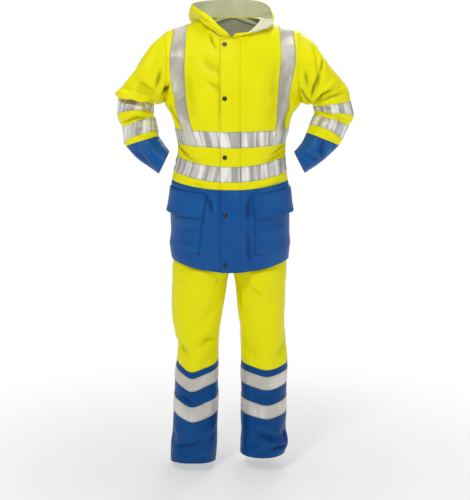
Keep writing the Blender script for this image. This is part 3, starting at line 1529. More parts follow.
class Workshop:
    """Turns pieces into objects and declares what each one is."""

    def __init__(self, wardrobe: Wardrobe) -> None:
        """Keeps the finishes."""
        self.wardrobe = wardrobe

    def add(
        self,
        piece: Piece,
        slot: str,
        held: str = "stretched",
        rests_on: Sequence[str] = (),
        material: Optional[bpy.types.Material] = None,
        end_to_end: bool = False,
    ) -> bpy.types.Object:
        """Makes the object, which stands for the solid of the same name.

        Args:
            piece: The closed shell, named after the solid.
            slot: Material slot of the record.
            held: How the cloth is held.
            rests_on: Pieces or solids that it lies on.
            material: Outer finish, where it isn't the slot's own.
            end_to_end: Whether its grids follow each other along their columns, not side by side.

        Returns:
            The object.
        """
        finish = material or self.wardrobe.cloth[slot]
        finishes = [finish, self.wardrobe.backing.get(slot, finish)]
        name = f"{piece.name}_sewn"
        made = put_mesh(
            name,
            piece.points,
            piece.faces,
            finishes,
            piece.corners,
            piece.inside,
            piece.rim,
            {"edge": piece.edge, "relief": piece.relief, "pinch": piece.pinch},
        )
        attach(made, BODY)
        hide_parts(piece.name)
        width, length, area = measured_cut(piece, end_to_end)
        LOG.info("%s: %d faces, cut %.3f by %.3f m, %.4f m2", name, len(piece.faces), width, length, area)
        return made


def measured_cut(piece: Piece, end_to_end: bool) -> tuple[float, float, float]:
    """Longest row, longest column and area of a piece's outer face."""
    rows = [float(runs_of(points)[:, -1].max()) for points, _ in piece.tops]
    columns = [float(runs_of(points.transpose(1, 0, 2))[:, -1].max()) for points, _ in piece.tops]
    width, length = (max(rows), sum(columns)) if end_to_end else (sum(rows), max(columns))
    corners = piece.points[piece.faces[~piece.inside & ~piece.rim]]
    return width, length, float(np.linalg.norm(crossed(corners), axis=1).sum() / 2)


@dataclass
class Jacket:
    """Body and sleeves of the jacket, with the storm flap, pockets, tapes and snaps."""

    step: float = 0.0052
    neck_step: float = 0.0020
    sleeve_step: float = 0.0038
    counts: tuple[int, int, int, int] = (7, 26, 10, 15)
    flap_free_edge: float = 0.037
    flap_sewn_edge: float = 0.030
    snap_x: float = -0.021
    snap_levels: tuple[float, ...] = (-0.063, -0.222, -0.413, -0.599, -0.762)
    snap_radius: float = 0.0075
    snap_height: float = 0.0032
    snap_profile: ClassVar[tuple[tuple[float, float], ...]] = (
        (0.02, 0.00), (0.90, 0.00), (0.98, 0.08), (1.00, 0.24), (0.98, 0.42), (0.90, 0.58), (0.80, 0.62),
        (0.72, 0.54), (0.66, 0.56), (0.56, 0.76), (0.42, 0.90), (0.24, 0.98), (0.02, 1.00),
    )  # fmt: skip
    snap_reach: float = 0.030
    snap_grip: float = 0.85
    flap_rise: float = 0.0026
    flap_curl: float = 1.5
    flap_bend: float = 0.6
    flap_ripple: float = 0.35
    flap_ripple_rates: tuple[float, float] = (61.0, 23.0)
    flap_insets: tuple[float, float] = (0.006, 0.008)
    felled_width: float = 0.006
    felled_share: float = 0.30
    pressed: float = 0.0004
    pocket_flare: float = 0.014
    pocket_curl: float = 1.3
    pocket_inner_share: float = 0.35
    pocket_side_margin: float = 0.016
    brace_side_margin: float = 0.006
    brace_rise_rows: int = 3
    bow_behind: float = 0.4
    first_column_share: float = 0.25
    cloth: Cloth = field(init=False)
    lower_levels: Array = field(init=False)
    upper_levels: Array = field(init=False)
    sleeve_rows: dict[Side, Array] = field(init=False, default_factory=dict)

    def __post_init__(self) -> None:
        """Works out the levels and joins the panels."""
        self.lower_levels = refined(LOWER_LEVELS, self.step)
        chest = refined(CHEST_LEVELS, self.step)
        self.upper_levels = np.concatenate([chest[:-1], refined(NECK_LEVELS, self.neck_step)])
        panels: dict[str, list[Array]] = {}
        for part, levels in (("upper", self.upper_levels), ("lower", self.lower_levels)):
            for side in Side:
                grid = self.torso_grid(levels, side, Face.FRONT)
                panels[f"jacket_front_{side.value}_{part}"] = [grid[:, ::-1] if side is Side.RIGHT else grid]
            left = self.torso_grid(levels, Side.LEFT, Face.BACK)[:, ::-1]
            panels[f"jacket_back_{part}"] = [left, self.torso_grid(levels, Side.RIGHT, Face.BACK)]
        for side in Side:
            grid = self.sleeve_grid(side)
            grid = grid[:, ::-1] if side is Side.RIGHT else grid
            grid = grid[::-1]
            cut = len(grid) - 1 - row_of(self.sleeve_rows[side], SLEEVE_COLOUR_RING)
            panels[f"sleeve_{side.value}_upper"] = [grid[cut:]]
            panels[f"sleeve_{side.value}_lower"] = [grid[: cut + 1]]
        self.cloth = Cloth(panels, JACKET_FOLDS, JACKET_CREASES, 0.0007, 11)

    @property
    def marks(self) -> Array:
        """Column numbers of the flap's edge, the brace's two edges and the side."""
        return np.cumsum(self.counts)

    def torso_curves(self, levels: Array, side: Side, face: Face) -> Array:
        """Curves of one quarter of the body, from the centre or neckline to the side seam or armhole.

        Each level is a cubic that leaves the centre square to the body's middle plane, and reaches the side
        turned by a quarter turn times the table's turn.

        Args:
            levels: Levels asked for.
            side: Wearer's side.
            face: Front or back.

        Returns:
            Samples along each level's curve.
        """
        start = np.stack([smooth(TORSO, f"{face.value}_{axis}", levels) for axis in "xyz"], axis=1)
        start = start * (side.sign, 1, 1)
        arm = smooth(TORSO, f"arm_{face.value}", levels) * face.sign
        beside = side.sign * smooth(TORSO, f"side_{side.value}", levels)
        end = np.stack([beside, arm, smooth(TORSO, "side_z", levels)], axis=1)
        turn = smooth(TORSO, "turn", levels)
        slope = smooth(TORSO, "slope", levels)
        reach = ROUND + (FLAT - ROUND) * np.clip(turn, 0, 1)
        span = end - start
        lean = turn * math.pi / 2
        start_pull = np.stack([reach * span[:, 0], 0 * reach, slope * span[:, 2] / 3], axis=1)
        across, forward = -reach * np.sin(lean) * span[:, 0], -reach * np.cos(lean) * span[:, 1]
        end_pull = np.stack([across, forward, -slope * span[:, 2] / 3], axis=1)
        return curves(start, start_pull, end_pull, end)

    def torso_grid(self, levels: Array, side: Side, face: Face) -> Array:
        """Points of one quarter of the body, with a column along each edge of the flap, brace and pocket.

        Args:
            levels: Levels of the rows.
            side: Wearer's side.
            face: Front or back.

        Returns:
            Rows by level, columns from the centre to the side.
        """
        samples = self.torso_curves(levels, side, face)
        runs = runs_of(samples)
        whole = runs[:, -1]
        reach = np.maximum.accumulate(np.abs(samples[:, :, 0]), axis=1)
        inner = run_at(reach, runs, smooth(BRACES, f"{face.value}_{side.value}", levels))
        outer = np.minimum(inner + TAPE_WIDTH, whole - self.brace_side_margin)
        if face is Face.FRONT:
            pocket = np.clip(smooth(BRACES, "pocket", levels), 0, 1)
            outer = outer + pocket * (whole - self.pocket_side_margin - outer)
        edge = self.flap_sewn_edge if side is Side.LEFT else self.flap_free_edge
        flap = run_at(reach, runs, np.full(len(levels), edge))
        above = np.clip((levels - NECK_PIT) / (COLLAR_ROW - NECK_PIT), 0, 1) if face is Face.FRONT else 1.0
        flap = flap * (1 - above) + self.first_column_share * inner * above
        marks = [np.zeros(len(levels)), flap, inner, outer, whole]
        parts = [
            low[:, None] + (high - low)[:, None] * np.arange(count)[None] / count
            for low, high, count in zip(marks[:-1], marks[1:], self.counts)
        ]
        return points_at(samples, runs, np.concatenate([*parts, whole[:, None]], axis=1))

    def armhole(self, side: Side) -> tuple[Array, int]:
        """Points round the armhole, from the armpit up the front and down the back, and the top's number."""
        levels = self.upper_levels[row_of(self.upper_levels, ARMPIT) :]
        x = side.sign * smooth(TORSO, f"side_{side.value}", levels)
        z = smooth(TORSO, "side_z", levels)
        front = np.stack([x, -smooth(TORSO, "arm_front", levels), z], axis=1)
        back = np.stack([x, smooth(TORSO, "arm_back", levels), z], axis=1)
        return np.concatenate([front, back[::-1][1:]]), len(levels) - 1

    def sleeve_grid(self, side: Side) -> Array:
        """Rings of a sleeve from the armhole to the cuff.

        Each ring is a squarish oval between the nearest and farthest point of its table row. Rings between
        the rows lie on a cubic through them.

        Args:
            side: Wearer's side.

        Returns:
            Rows by ring, columns round the arm from the armpit over the front.
        """
        loop, top = self.armhole(side)
        run = runs_of(loop[None])[0]
        down = 1 + (run - run[top]) / (run[-1] - run[top])
        share = np.where(np.arange(len(loop)) <= top, run / run[top], down)
        angle = math.pi * (1 - share)
        across = np.sign(np.cos(angle)) * np.abs(np.cos(angle)) ** SLEEVE_FULLNESS
        forward = np.sign(np.sin(angle)) * np.abs(np.sin(angle)) ** SLEEVE_FULLNESS
        rings = [loop]
        for row in SLEEVES[side]:
            inner = np.array([side.sign * row.inner_x, row.middle_y, row.inner_z])
            outer = np.array([side.sign * row.outer_x, row.middle_y, row.outer_z])
            ring = (inner + outer) / 2 + across[:, None] * (outer - inner) / 2
            ring[:, 1] -= forward * row.half_depth
            ring[:, 2] += row.bow * np.where(forward > 0, forward, -self.bow_behind * forward)
            rings.append(ring)
        stack = np.array(rings)
        stack[:, -1] = stack[:, 0]
        gaps = np.linalg.norm(np.diff(stack, axis=0), axis=2).max(axis=1)
        parts = [
            number + np.arange(count) / count
            for number, count in enumerate(np.ceil(gaps / self.sleeve_step).astype(int))
        ]
        self.sleeve_rows[side] = np.concatenate([*parts, [len(stack) - 1]])
        return smooth_through(np.arange(len(stack), dtype=float), stack, self.sleeve_rows[side])

    def neckline(self) -> tuple[Array, Array]:
        """Points of the neckline from the front round the nape, and the way the cloth arrives at each."""
        edges, arrivals = [], []
        first = row_of(self.upper_levels, NECK_PIT) - 1
        levels = self.upper_levels[first:]
        nape = row_of(levels, NAPE)
        for side in Side:
            front = self.torso_grid(levels, side, Face.FRONT)
            back = self.torso_grid(levels, side, Face.BACK)
            inner_front, inner_back = front[1:, 1], back[nape:-1, 1]
            inner_front[0], inner_back[0] = front[0, 0], back[nape - 1, 0]
            edge = np.concatenate([front[1:, 0], back[nape:-1, 0][::-1]])
            edges.append(edge)
            arrivals.append(unit(edge - np.concatenate([inner_front, inner_back[::-1]])))
        edge = np.concatenate([edges[0], edges[1][::-1][1:]])
        return edge, np.concatenate([arrivals[0], arrivals[1][::-1][1:]])

    def front_columns(self, side: Side, low: int, high: int) -> slice:
        """Columns of a front's grid between two marks, whose order is turned round on the right."""
        count = self.marks[-1] + 1
        return slice(low, high + 1) if side is Side.LEFT else slice(count - 1 - high, count - low)

    def flap_sheets(self, part: str, rows: slice) -> list[Sheet]:
        """The storm flap's grids over both fronts."""
        edge = self.marks[0]
        return [
            self.cloth.part(f"jacket_front_{side.value}_{part}", rows, self.front_columns(side, 0, edge))
            for side in (Side.RIGHT, Side.LEFT)
        ]

    def flap_lift(self, sheets: Sequence[Sheet]) -> list[Array]:
        """Height of the flap off the front: its free edge rises between the snaps, which hold it down."""
        lifts = []
        for one in sheets:
            x, _, z = self.cloth.places[one.index].transpose(2, 0, 1)
            bend = self.flap_sewn_edge * self.flap_bend
            free = np.clip((bend - x) / (bend + self.flap_free_edge), 0, 1)
            held = np.zeros_like(x)
            for level in self.snap_levels:
                held = np.maximum(held, np.exp(-(((z - level) / self.snap_reach) ** 2)))
            quick, slow = self.flap_ripple_rates
            ripple = 1 + self.flap_ripple * np.sin(z * quick) * np.sin(z * slow + 1.0)
            curl = self.flap_rise * free**self.flap_curl
            lifts.append(LAY_GAP + curl * (1 - self.snap_grip * held) * ripple)
        return lifts

    def felled(self, sheets: Sequence[Sheet]) -> list[Array]:
        """Thickness of the flap, which thins out towards its sewn edge, where it is felled into the front."""
        thickness = []
        for one in sheets:
            x = self.cloth.places[one.index][..., 0]
            inward = np.clip((self.flap_sewn_edge - x) / self.felled_width, 0, 1)
            eased = inward**2 * (3 - 2 * inward)
            thickness.append(CLOTH * (self.felled_share + (1 - self.felled_share) * eased))
        return thickness

    def build(self, workshop: Workshop, threads: Seamstress) -> None:
        """Makes all the jacket's pieces."""
        for name, sheets in self.cloth.sheets.items():
            slot = "blue_cloth" if name.endswith("lower") else "yellow_cloth"
            piece = make_piece(self.cloth, name, sheets, -CLOTH, CLOTH)
            workshop.add(piece, slot, "hung")
            self.sew_panel(name, slot, piece, threads)
        self.build_flap(workshop, threads)
        self.build_bands(workshop, threads)
        self.build_braces(workshop, threads)
        self.build_sleeve_tapes(workshop, threads)
        self.build_pockets(workshop, threads)

    def sew_panel(self, name: str, slot: str, piece: Piece, threads: Seamstress) -> None:
        """Hem stitches on the skirt and cuffs, and a row under each colour seam and beside each armhole."""
        for top in piece.tops:
            if name.endswith("lower"):
                threads.sew_row(slot, top, HEM_INSET)
                threads.sew_row(slot, top, SEAM_INSET, last=True)
            elif name.startswith("sleeve"):
                threads.sew_row(slot, top, ARM_INSET, last=True)

    def build_flap(self, workshop: Workshop, threads: Seamstress) -> None:
        """Storm flap in two colours, its bands and its snap caps."""
        top = row_of(self.upper_levels, NECK_PIT) + 1
        parts = (("upper", slice(0, top), "yellow_cloth"), ("lower", slice(None), "blue_cloth"))
        for part, rows, slot in parts:
            sheets = self.flap_sheets(part, rows)
            lifts = self.flap_lift(sheets)
            thickness = self.felled(sheets)
            pressed = [lift - self.pressed * (1 - thick / CLOTH) for lift, thick in zip(lifts, thickness)]
            piece = make_piece(self.cloth, f"storm_flap_{part}", sheets, pressed, thickness, SEAM_GAP)
            piece.edge[piece.points[:, 0] > self.flap_sewn_edge - self.felled_width] = 1.0
            fronts = [f"jacket_front_{side.value}_{part}" for side in Side]
            workshop.add(piece, slot, "laid", fronts)
            threads.sew_column(slot, piece.tops[0], self.flap_insets[0])
            threads.sew_column(slot, piece.tops[1], self.flap_insets[1], last=True)
        for name, band in (("lower", LOWER_BAND), ("upper", UPPER_BAND)):
            rows = slice(row_of(self.upper_levels, band[0]), row_of(self.upper_levels, band[1]) + 1)
            sheets = self.flap_sheets("upper", rows)
            lifts = [lift + CLOTH + LAY_GAP for lift in self.flap_lift(sheets)]
            piece = make_piece(self.cloth, f"tape_flap_{name}", sheets, lifts, TAPE, SEAM_GAP)
            workshop.add(piece, "silver_tape", "laid", ["storm_flap_upper"], workshop.wardrobe.tape["band"])
            threads.sew_edges("silver_tape", piece.tops, TAPE_INSET)
        for number, level in enumerate(self.snap_levels, start=1):
            self.build_snap(workshop, number, level)

    def build_snap(self, workshop: Workshop, number: int, level: float) -> None:
        """A turned cap: a rounded rim, a shallow groove and a low dome, with a flat back."""
        part, levels = ("upper", self.upper_levels) if level > COLOUR_SEAM else ("lower", self.lower_levels)
        row = row_of(levels, level)
        sheet = self.flap_sheets(part, slice(row, row + 1))[0]
        places = self.cloth.places[sheet.index][0]
        column = int(np.argmin(np.abs(places[:, 0] - self.snap_x)))
        up = self.cloth.normals[sheet.index][0, column]
        lift = self.flap_lift([sheet])[0][0, column] + CLOTH + LAY_GAP
        centre = places[column] + up * lift
        side = unit(np.cross((0.0, 0.0, 1.0), up))
        over = np.cross(up, side)
        profile = np.array(self.snap_profile)
        turn = np.linspace(0, 2 * math.pi, 48, endpoint=False)
        spoke = np.cos(turn)[:, None] * side + np.sin(turn)[:, None] * over
        points = (
            centre
            + profile[:, None, :1] * self.snap_radius * spoke[None]
            + profile[:, None, 1:] * self.snap_height * up
        )
        rows, count = points.shape[:2]
        start = np.arange(rows - 1)[:, None] * count + np.arange(count)[None]
        after = np.arange(rows - 1)[:, None] * count + (np.arange(count)[None] + 1) % count
        quads = np.stack([start, after, after + count, start + count], axis=-1).reshape(-1, 4)
        ends = np.concatenate([points.reshape(-1, 3), [centre, centre + up * self.snap_height]])
        low, high = len(ends) - 2, len(ends) - 1
        ring = np.arange(count)
        turned = (ring + 1) % count
        last = (rows - 1) * count
        bottom = np.stack([np.full(count, low), turned, ring, ring], axis=1)
        top = np.stack([np.full(count, high), last + ring, last + turned, last + turned], axis=1)
        triangles = np.concatenate(
            [quads[:, [0, 1, 2]], quads[:, [0, 2, 3]], bottom[:, :3], top[:, :3]]
        )
        made = put_mesh(f"snap_cap_{number}", ends, triangles, [workshop.wardrobe.snap])
        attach(made, BODY)
        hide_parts(f"snap_{number}")
        LOG.info("snap cap %d at level %.3f", number, level)

    def build_bands(self, workshop: Workshop, threads: Seamstress) -> None:
        """The two bands round the body, from the free edge of the flap to its sewn edge."""
        edge, side_mark = self.marks[0], self.marks[-1]
        for name, band in (("lower", LOWER_BAND), ("upper", UPPER_BAND)):
            rows = slice(row_of(self.upper_levels, band[0]), row_of(self.upper_levels, band[1]) + 1)
            sheets = [
                self.cloth.part(
                    f"jacket_front_{side.value}_upper", rows, self.front_columns(side, edge, side_mark)
                )
                for side in Side
            ]
            sheets += [self.cloth.part("jacket_back_upper", rows, slice(None), half) for half in (0, 1)]
            piece = make_piece(self.cloth, f"tape_body_{name}", sheets, LAY_GAP, TAPE, SEAM_GAP)
            rests = ["jacket_front_right_upper", "jacket_front_left_upper", "jacket_back_upper"]
            workshop.add(piece, "silver_tape", "laid", rests, workshop.wardrobe.tape["band"])
            threads.sew_edges("silver_tape", piece.tops, TAPE_INSET)

    def build_braces(self, workshop: Workshop, threads: Seamstress) -> None:
        """The tapes over the shoulders, from the upper band's foot in front to its foot at the back."""
        first = row_of(self.upper_levels, UPPER_BAND[0])
        on_band = row_of(self.upper_levels, UPPER_BAND[1]) - first
        rows = slice(first, None)
        inner, outer = self.marks[1], self.marks[2]
        for side in Side:
            columns = self.front_columns(side, inner, outer)
            front = self.cloth.part(f"jacket_front_{side.value}_upper", rows, columns)
            other = Side.RIGHT if side is Side.LEFT else Side.LEFT
            half = 0 if side is Side.LEFT else 1
            back = self.cloth.part("jacket_back_upper", rows, self.front_columns(other, inner, outer), half)
            height = np.full(front.index.shape, LAY_GAP)
            above = on_band + self.brace_rise_rows - np.arange(len(height))
            rise = np.clip(above / self.brace_rise_rows, 0, 1)[:, None]
            height = height + rise * (TAPE + LAY_GAP)
            name = f"tape_brace_{side.value}"
            piece = make_piece(self.cloth, name, [front, back], [height, height], TAPE, SEAM_GAP)
            rests = [f"jacket_front_{side.value}_upper", "jacket_back_upper"]
            finish = workshop.wardrobe.tape["brace"]
            workshop.add(piece, "silver_tape", "laid", rests, finish, end_to_end=True)
            for grid in piece.tops:
                threads.sew_column("silver_tape", grid, TAPE_INSET)
                threads.sew_column("silver_tape", grid, TAPE_INSET, last=True)

    def build_sleeve_tapes(self, workshop: Workshop, threads: Seamstress) -> None:
        """Two bands round each sleeve."""
        for side in Side:
            rings = self.sleeve_rows[side]
            cut = len(rings) - 1 - row_of(rings, SLEEVE_COLOUR_RING)
            for number, (first, last) in enumerate(SLEEVE_TAPE_RINGS, start=1):
                low = len(rings) - 1 - row_of(rings, last) - cut
                high = len(rings) - 1 - row_of(rings, first) - cut
                name = f"sleeve_{side.value}_upper"
                sheet = self.cloth.part(name, slice(low, high + 1), slice(None))
                tape = f"tape_sleeve_{side.value}_{number}"
                piece = make_piece(self.cloth, tape, [sheet], LAY_GAP, TAPE, SEAM_GAP)
                workshop.add(piece, "silver_tape", "stretched", [name], workshop.wardrobe.tape["band"])
                threads.sew_edges("silver_tape", piece.tops, TAPE_INSET)

    def build_pockets(self, workshop: Workshop, threads: Seamstress) -> None:
        """Patch pockets and the flaps over them, whose free corners stand away from the body."""
        levels = self.lower_levels
        for side in Side:
            name = f"jacket_front_{side.value}_lower"
            columns = self.front_columns(side, self.marks[1], self.marks[2])
            rows = slice(row_of(levels, POCKET_FOOT), row_of(levels, POCKET_FLAP_TOP) + 1)
            sheet = self.cloth.part(name, rows, columns)
            piece = make_piece(self.cloth, f"pocket_{side.value}", [sheet], LAY_GAP, CLOTH, SEAM_GAP)
            workshop.add(piece, "blue_cloth", "laid", [name])
            top = piece.tops[0]
            threads.sew_row("blue_cloth", top, POCKET_INSET)
            threads.sew_column("blue_cloth", top, POCKET_INSET)
            threads.sew_column("blue_cloth", top, POCKET_INSET, last=True)
            rows = slice(row_of(levels, POCKET_FLAP_FOOT), row_of(levels, POCKET_FLAP_TOP) + 1)
            sheet = self.cloth.part(name, rows, columns)
            down = np.linspace(1, 0, sheet.index.shape[0])[:, None]
            out = np.linspace(self.pocket_inner_share, 1, sheet.index.shape[1])[None, :]
            out = out[:, ::-1] if side is Side.RIGHT else out
            lift = 2 * LAY_GAP + CLOTH + self.pocket_flare * down**self.pocket_curl * out
            piece = make_piece(self.cloth, f"pocket_flap_{side.value}", [sheet], [lift], CLOTH, SEAM_GAP)
            workshop.add(piece, "blue_cloth", "laid", [f"pocket_{side.value}"])
            top = piece.tops[0]
            for inset in (POCKET_INSET, 3 * POCKET_INSET):
                threads.sew_row("blue_cloth", top, inset, last=True)
            threads.sew_row("blue_cloth", top, ARM_INSET)
            threads.sew_column("blue_cloth", top, ARM_INSET)
            threads.sew_column("blue_cloth", top, ARM_INSET, last=True)


def run_at(reach: Array, runs: Array, wanted: Array) -> Array:
    """Distance along each curve where its reach from the centre comes to a wanted one.

    Args:
        reach: Reach at each sample, which never falls along a curve.
        runs: Distance run at each sample.
        wanted: Reach asked for on each curve.

    Returns:
        The distance on each curve.
    """
    index = np.clip((reach < wanted[:, None]).sum(axis=1), 1, reach.shape[1] - 1)
    lane = np.arange(len(reach))
    low, high = reach[lane, index - 1], reach[lane, index]
    part = np.clip((wanted - low) / np.maximum(high - low, 1e-12), 0, 1)
    return runs[lane, index - 1] * (1 - part) + runs[lane, index] * part


@dataclass
class Hood:
    """The hood, sewn round the neckline, open at the front and fallen back into a pouch."""

    seam_gap: float = 0.0009
    rows: int = 96
    rim_hem: float = 0.016
    turn_reach: float = 0.060
    pouch_start: float = 0.100
    pouch_blend: float = 0.030

    def build(self, jacket: Jacket, workshop: Workshop, threads: Seamstress) -> None:
        """Makes the hood from the jacket's neckline."""
        edge, arrival = jacket.neckline()
        base = edge + self.seam_gap * arrival
        run = runs_of(base[None])[0]
        at = run / run[-1]
        places = np.array([row.at for row in HOOD])
        rim, low, high = (
            smooth_through(places, np.array([getattr(row, part) for row in HOOD]), at)
            for part in ("rim", "low", "high")
        )
        samples = curves(base, low, high, rim)
        runs = runs_of(samples)
        grid = points_at(samples, runs, runs[:, -1:] * np.linspace(0, 1, self.rows + 1)[None])
        grid = grid.transpose(1, 0, 2)[:, ::-1]
        cloth = Cloth({"hood": [grid]}, HOOD_FOLDS, HOOD_CREASES, 0.0006, 5, self.calm(grid))
        piece = make_piece(cloth, "hood", cloth.sheets["hood"], -CLOTH, CLOTH)
        workshop.add(piece, "yellow_cloth", "hung")
        threads.sew_row("yellow_cloth", piece.tops[0], self.rim_hem, last=True)
        threads.sew_row("yellow_cloth", piece.tops[0], SEAM_INSET)

    def calm(self, grid: Array) -> Array:
        """Share of the folds that each point keeps: none on the turn of the pouch, whose layers lie close.

        The share rises smoothly with the distance along each column from its lowest point, and it is whole on
        the columns in front, which have no pouch.
        """
        along = runs_of(grid.transpose(1, 0, 2)).T
        lowest = grid[:, :, 2].argmin(axis=0)
        lane = np.arange(grid.shape[1])
        away = np.clip(np.abs(along - along[lowest, lane]) / self.turn_reach, 0, 1)
        pouch = np.clip((grid[lowest, lane, 1] - self.pouch_start) / self.pouch_blend, 0, 1)
        return 1 - pouch * (1 - away**2 * (3 - 2 * away))


@dataclass
class Trousers:
    """Both legs with their tapes, and the waistband inside the jacket."""

    step: float = 0.0062
    columns: int = 50
    sag_behind: float = 0.4
    shin_front: float = 0.05
    shin_level: float = -1.225
    shin_reach: float = 0.125
    shin_dip: ClassVar[dict[Side, tuple[float, float, float]]] = {
        Side.RIGHT: (-0.140, 0.032, 0.017),
        Side.LEFT: (0.128, 0.048, 0.010),
    }
    cloth: Cloth = field(init=False)
    lower_levels: Array = field(init=False)

    def __post_init__(self) -> None:
        """Joins the panels."""
        upper = refined(LEG_UPPER_LEVELS, self.step)
        self.lower_levels = refined(LEG_LOWER_LEVELS, self.step)[::-1]
        panels: dict[str, list[Array]] = {}
        for part, levels in (("upper", upper[::-1]), ("lower", self.lower_levels)):
            for side in Side:
                for face in Face:
                    grid = self.leg_grid(levels, side, face)
                    turned = (side is Side.RIGHT) == (face is Face.FRONT)
                    panels[f"trousers_{face.value}_{side.value}_{part}"] = [grid[:, ::-1] if turned else grid]
        self.cloth = Cloth(panels, LEG_FOLDS, LEG_CREASES, 0.0008, 23)

    def leg_grid(self, levels: Array, side: Side, face: Face) -> Array:
        """Points of the front or back of one leg.

        Each level is a cubic from the inner to the outer seam. Above the fork it starts at the middle of the
        body, and below it the two faces together close into an oval.

        Args:
            levels: Levels of the rows.
            side: Wearer's side.
            face: Front or back.

        Returns:
            Rows by level, columns from the inner to the outer seam.
        """
        height = levels + (smooth(LEGS, "left_lift", levels) if side is Side.LEFT else 0)
        split = np.clip(smooth(LEGS, "split", levels), 0, 1)
        inner_x = side.sign * smooth(LEGS, f"inner_{side.value}", levels)
        inner_y = smooth(LEGS, f"inner_{face.value}", levels)
        outer_x = side.sign * smooth(LEGS, f"outer_{side.value}", levels)
        depth = np.abs(smooth(LEGS, f"{face.value}_y", levels))
        sag = smooth(LEGS, f"sag_{side.value}", levels) * (1 if face is Face.FRONT else self.sag_behind)
        start = np.stack([inner_x, inner_y, height], axis=1)
        end = np.stack([outer_x, 0 * depth, height], axis=1)
        drop = -HALF_RING * sag * split
        swell = np.clip(CROTCH_SWELL * split, 0, 1) * (HALF_RING * depth - np.abs(inner_y))
        start_pull = np.stack([(1 - split) * ROUND * (outer_x - inner_x), face.sign * swell, drop], axis=1)
        fullness = face.sign * (ROUND + (HALF_RING - ROUND) * split) * depth
        end_pull = np.stack([0 * depth, fullness, drop], axis=1)
        samples = curves(start, start_pull, end_pull, end)
        runs = runs_of(samples)
        grid = points_at(samples, runs, runs[:, -1:] * np.linspace(0, 1, self.columns + 1)[None])
        grid[:, :, 2] += self.shin_sag(grid, side)
        return grid

    def shin_sag(self, grid: Array, side: Side) -> Array:
        """Extra height of the shin's cloth, which hangs lowest in a narrow dip in front.

        The dip is a bell round its own X on the front, and it fades out at the knee and above the hem.

        Args:
            grid: Points of a leg panel.
            side: Wearer's side.

        Returns:
            How much each point rises.
        """
        x, y, z = grid.transpose(2, 0, 1)
        middle, width, rise = self.shin_dip[side]
        front = np.clip(-y / self.shin_front, 0, 1)
        front = front**2 * (3 - 2 * front)
        dip = np.exp(-(((x - middle) / width) ** 2)) * front
        window = np.exp(-(((z - self.shin_level) / self.shin_reach) ** 4))
        return rise * (1 - dip) * window

    def build(self, workshop: Workshop, threads: Seamstress) -> None:
        """Makes the leg panels, the leg tapes and the waistband."""
        for name, sheets in self.cloth.sheets.items():
            slot = "blue_cloth" if name.endswith("lower") else "yellow_cloth"
            piece = make_piece(self.cloth, name, sheets, -CLOTH, CLOTH)
            workshop.add(piece, slot, "hung", (), workshop.wardrobe.leg_cloth[slot])
            if name.endswith("lower"):
                threads.sew_row(slot, piece.tops[0], HEM_INSET)
                threads.sew_row(slot, piece.tops[0], SEAM_INSET, last=True)
        for side in Side:
            for number, (top, foot) in enumerate(LEG_TAPES, start=1):
                self.build_tape(workshop, threads, side, number, top, foot)
        self.build_waistband(workshop, threads)

    def build_tape(
        self, workshop: Workshop, threads: Seamstress, side: Side, number: int, top: float, foot: float
    ) -> None:
        """One band round a leg, over its front and back."""
        rows = slice(row_of(self.lower_levels, foot), row_of(self.lower_levels, top) + 1)
        names = [f"trousers_{face.value}_{side.value}_lower" for face in Face]
        sheets = [self.cloth.part(name, rows, slice(None)) for name in names]
        tape = f"tape_leg_{side.value}_{number}"
        piece = make_piece(self.cloth, tape, sheets, LAY_GAP, TAPE, SEAM_GAP)
        workshop.add(piece, "silver_tape", "stretched", names, workshop.wardrobe.tape["leg"])
        threads.sew_edges("silver_tape", piece.tops, TAPE_INSET)

    def build_waistband(self, workshop: Workshop, threads: Seamstress) -> None:
        """A straight band that stands on the top edge of the legs."""
        right, left = Side.RIGHT, Side.LEFT
        order = ((right, Face.FRONT), (left, Face.FRONT), (left, Face.BACK), (right, Face.BACK))
        heights = np.linspace(0.0003, WAISTBAND_HEIGHT, 9)
        grids = []
        for side, face in order:
            index = self.cloth.sheets[f"trousers_{face.value}_{side.value}_upper"][0].index[-1]
            edge = self.cloth.places[index]
            grids.append(edge[None] + heights[:, None, None] * np.array([0.0, 0.0, 1.0]))
        band = Cloth({"waist": grids}, (), (), 0.0, 1)
        piece = make_piece(band, "trousers_waistband", band.sheets["waist"], -CLOTH, CLOTH)
        workshop.add(piece, "yellow_cloth", "gathered", ["trousers_front_right_upper"])
        threads.sew_edges("yellow_cloth", piece.tops, ARM_INSET)


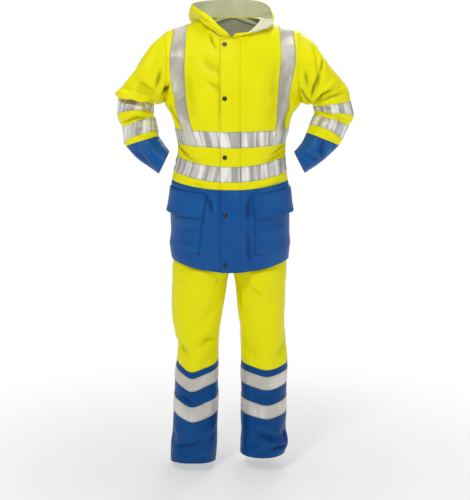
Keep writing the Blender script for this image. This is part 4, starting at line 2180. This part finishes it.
@dataclass
class Studio:
    """Floor, soft light and the camera at the photograph's view."""

    floor_level: float = -1.520
    floor_half: float = 14.0
    sensor: float = 36.0
    surround: float = 0.36

    def build(self) -> None:
        """Sets the stage."""
        self.add_floor()
        self.add_camera()
        self.add_lights()
        bpy.context.scene.view_settings.view_transform = "Standard"
        bpy.context.scene.view_settings.look = "None"

    def add_floor(self) -> None:
        """A wide flat floor."""
        half = self.floor_half
        corners = np.array([(-half, -half, 0), (half, -half, 0), (half, half, 0), (-half, half, 0)], float)
        floor = put_mesh("studio_floor", corners, np.array([[0, 1, 2, 3]]), [FloorPaper().build()])
        floor.location = (0, 0, self.floor_level)

    def add_camera(self) -> None:
        """Camera level with the chest, tilted down."""
        data = bpy.data.cameras.new("photo_camera")
        data.sensor_width = self.sensor
        data.lens = self.sensor * FOCAL_PIXELS / max(PHOTO_SIZE)
        camera = bpy.data.objects.new("photo_camera", data)
        camera.location = CAMERA_PLACE
        camera.rotation_euler = (math.radians(90 - CAMERA_TILT), 0, 0)
        bpy.context.scene.collection.objects.link(camera)
        bpy.context.scene.camera = camera

    def add_lights(self) -> None:
        """Two large soft boxes in front, one above, one behind, and an even pale surround."""
        boxes = (
            ("key_box", (-1.2, -2.8, 2.4), 0.7, 62.0),
            ("fill_box", (3.0, -2.4, 0.2), 1.6, 14.0),
            ("top_box", (0.3, 0.2, 2.4), 1.0, 22.0),
            ("back_box", (0.8, 3.4, 1.8), 2.0, 60.0),
        )
        for name, place, size, power in boxes:
            data = bpy.data.lights.new(name, "AREA")
            data.size = size
            data.energy = power
            light = bpy.data.objects.new(name, data)
            light.location = place
            aim = Vector((0, 0, -0.6)) - Vector(place)
            light.rotation_euler = aim.to_track_quat("-Z", "Y").to_euler()
            bpy.context.scene.collection.objects.link(light)
        world = bpy.data.worlds.new("pale_surround")
        world.use_nodes = True
        tree = world.node_tree
        seen = tree.nodes["Background"]
        seen.inputs["Color"].default_value = (1, 1, 1, 1)
        around = tree.nodes.new("ShaderNodeBackground")
        around.inputs["Color"].default_value = (1, 1, 1, 1)
        around.inputs["Strength"].default_value = self.surround
        rays = tree.nodes.new("ShaderNodeLightPath")
        either = tree.nodes.new("ShaderNodeMixShader")
        tree.links.new(rays.outputs["Is Camera Ray"], either.inputs[0])
        tree.links.new(around.outputs[0], either.inputs[1])
        tree.links.new(seen.outputs[0], either.inputs[2])
        tree.links.new(either.outputs[0], tree.nodes["World Output"].inputs["Surface"])
        bpy.context.scene.world = world


def main() -> None:
    """Builds the suit and the studio."""
    logging.basicConfig(level=logging.INFO, format="%(name)s: %(message)s")
    wardrobe = Wardrobe()
    workshop = Workshop(wardrobe)
    threads = Seamstress()
    jacket = Jacket()
    jacket.build(workshop, threads)
    Hood().build(jacket, workshop, threads)
    Trousers().build(workshop, threads)
    threads.finish(wardrobe)
    Studio().build()


if __name__ == "__main__":
    main()
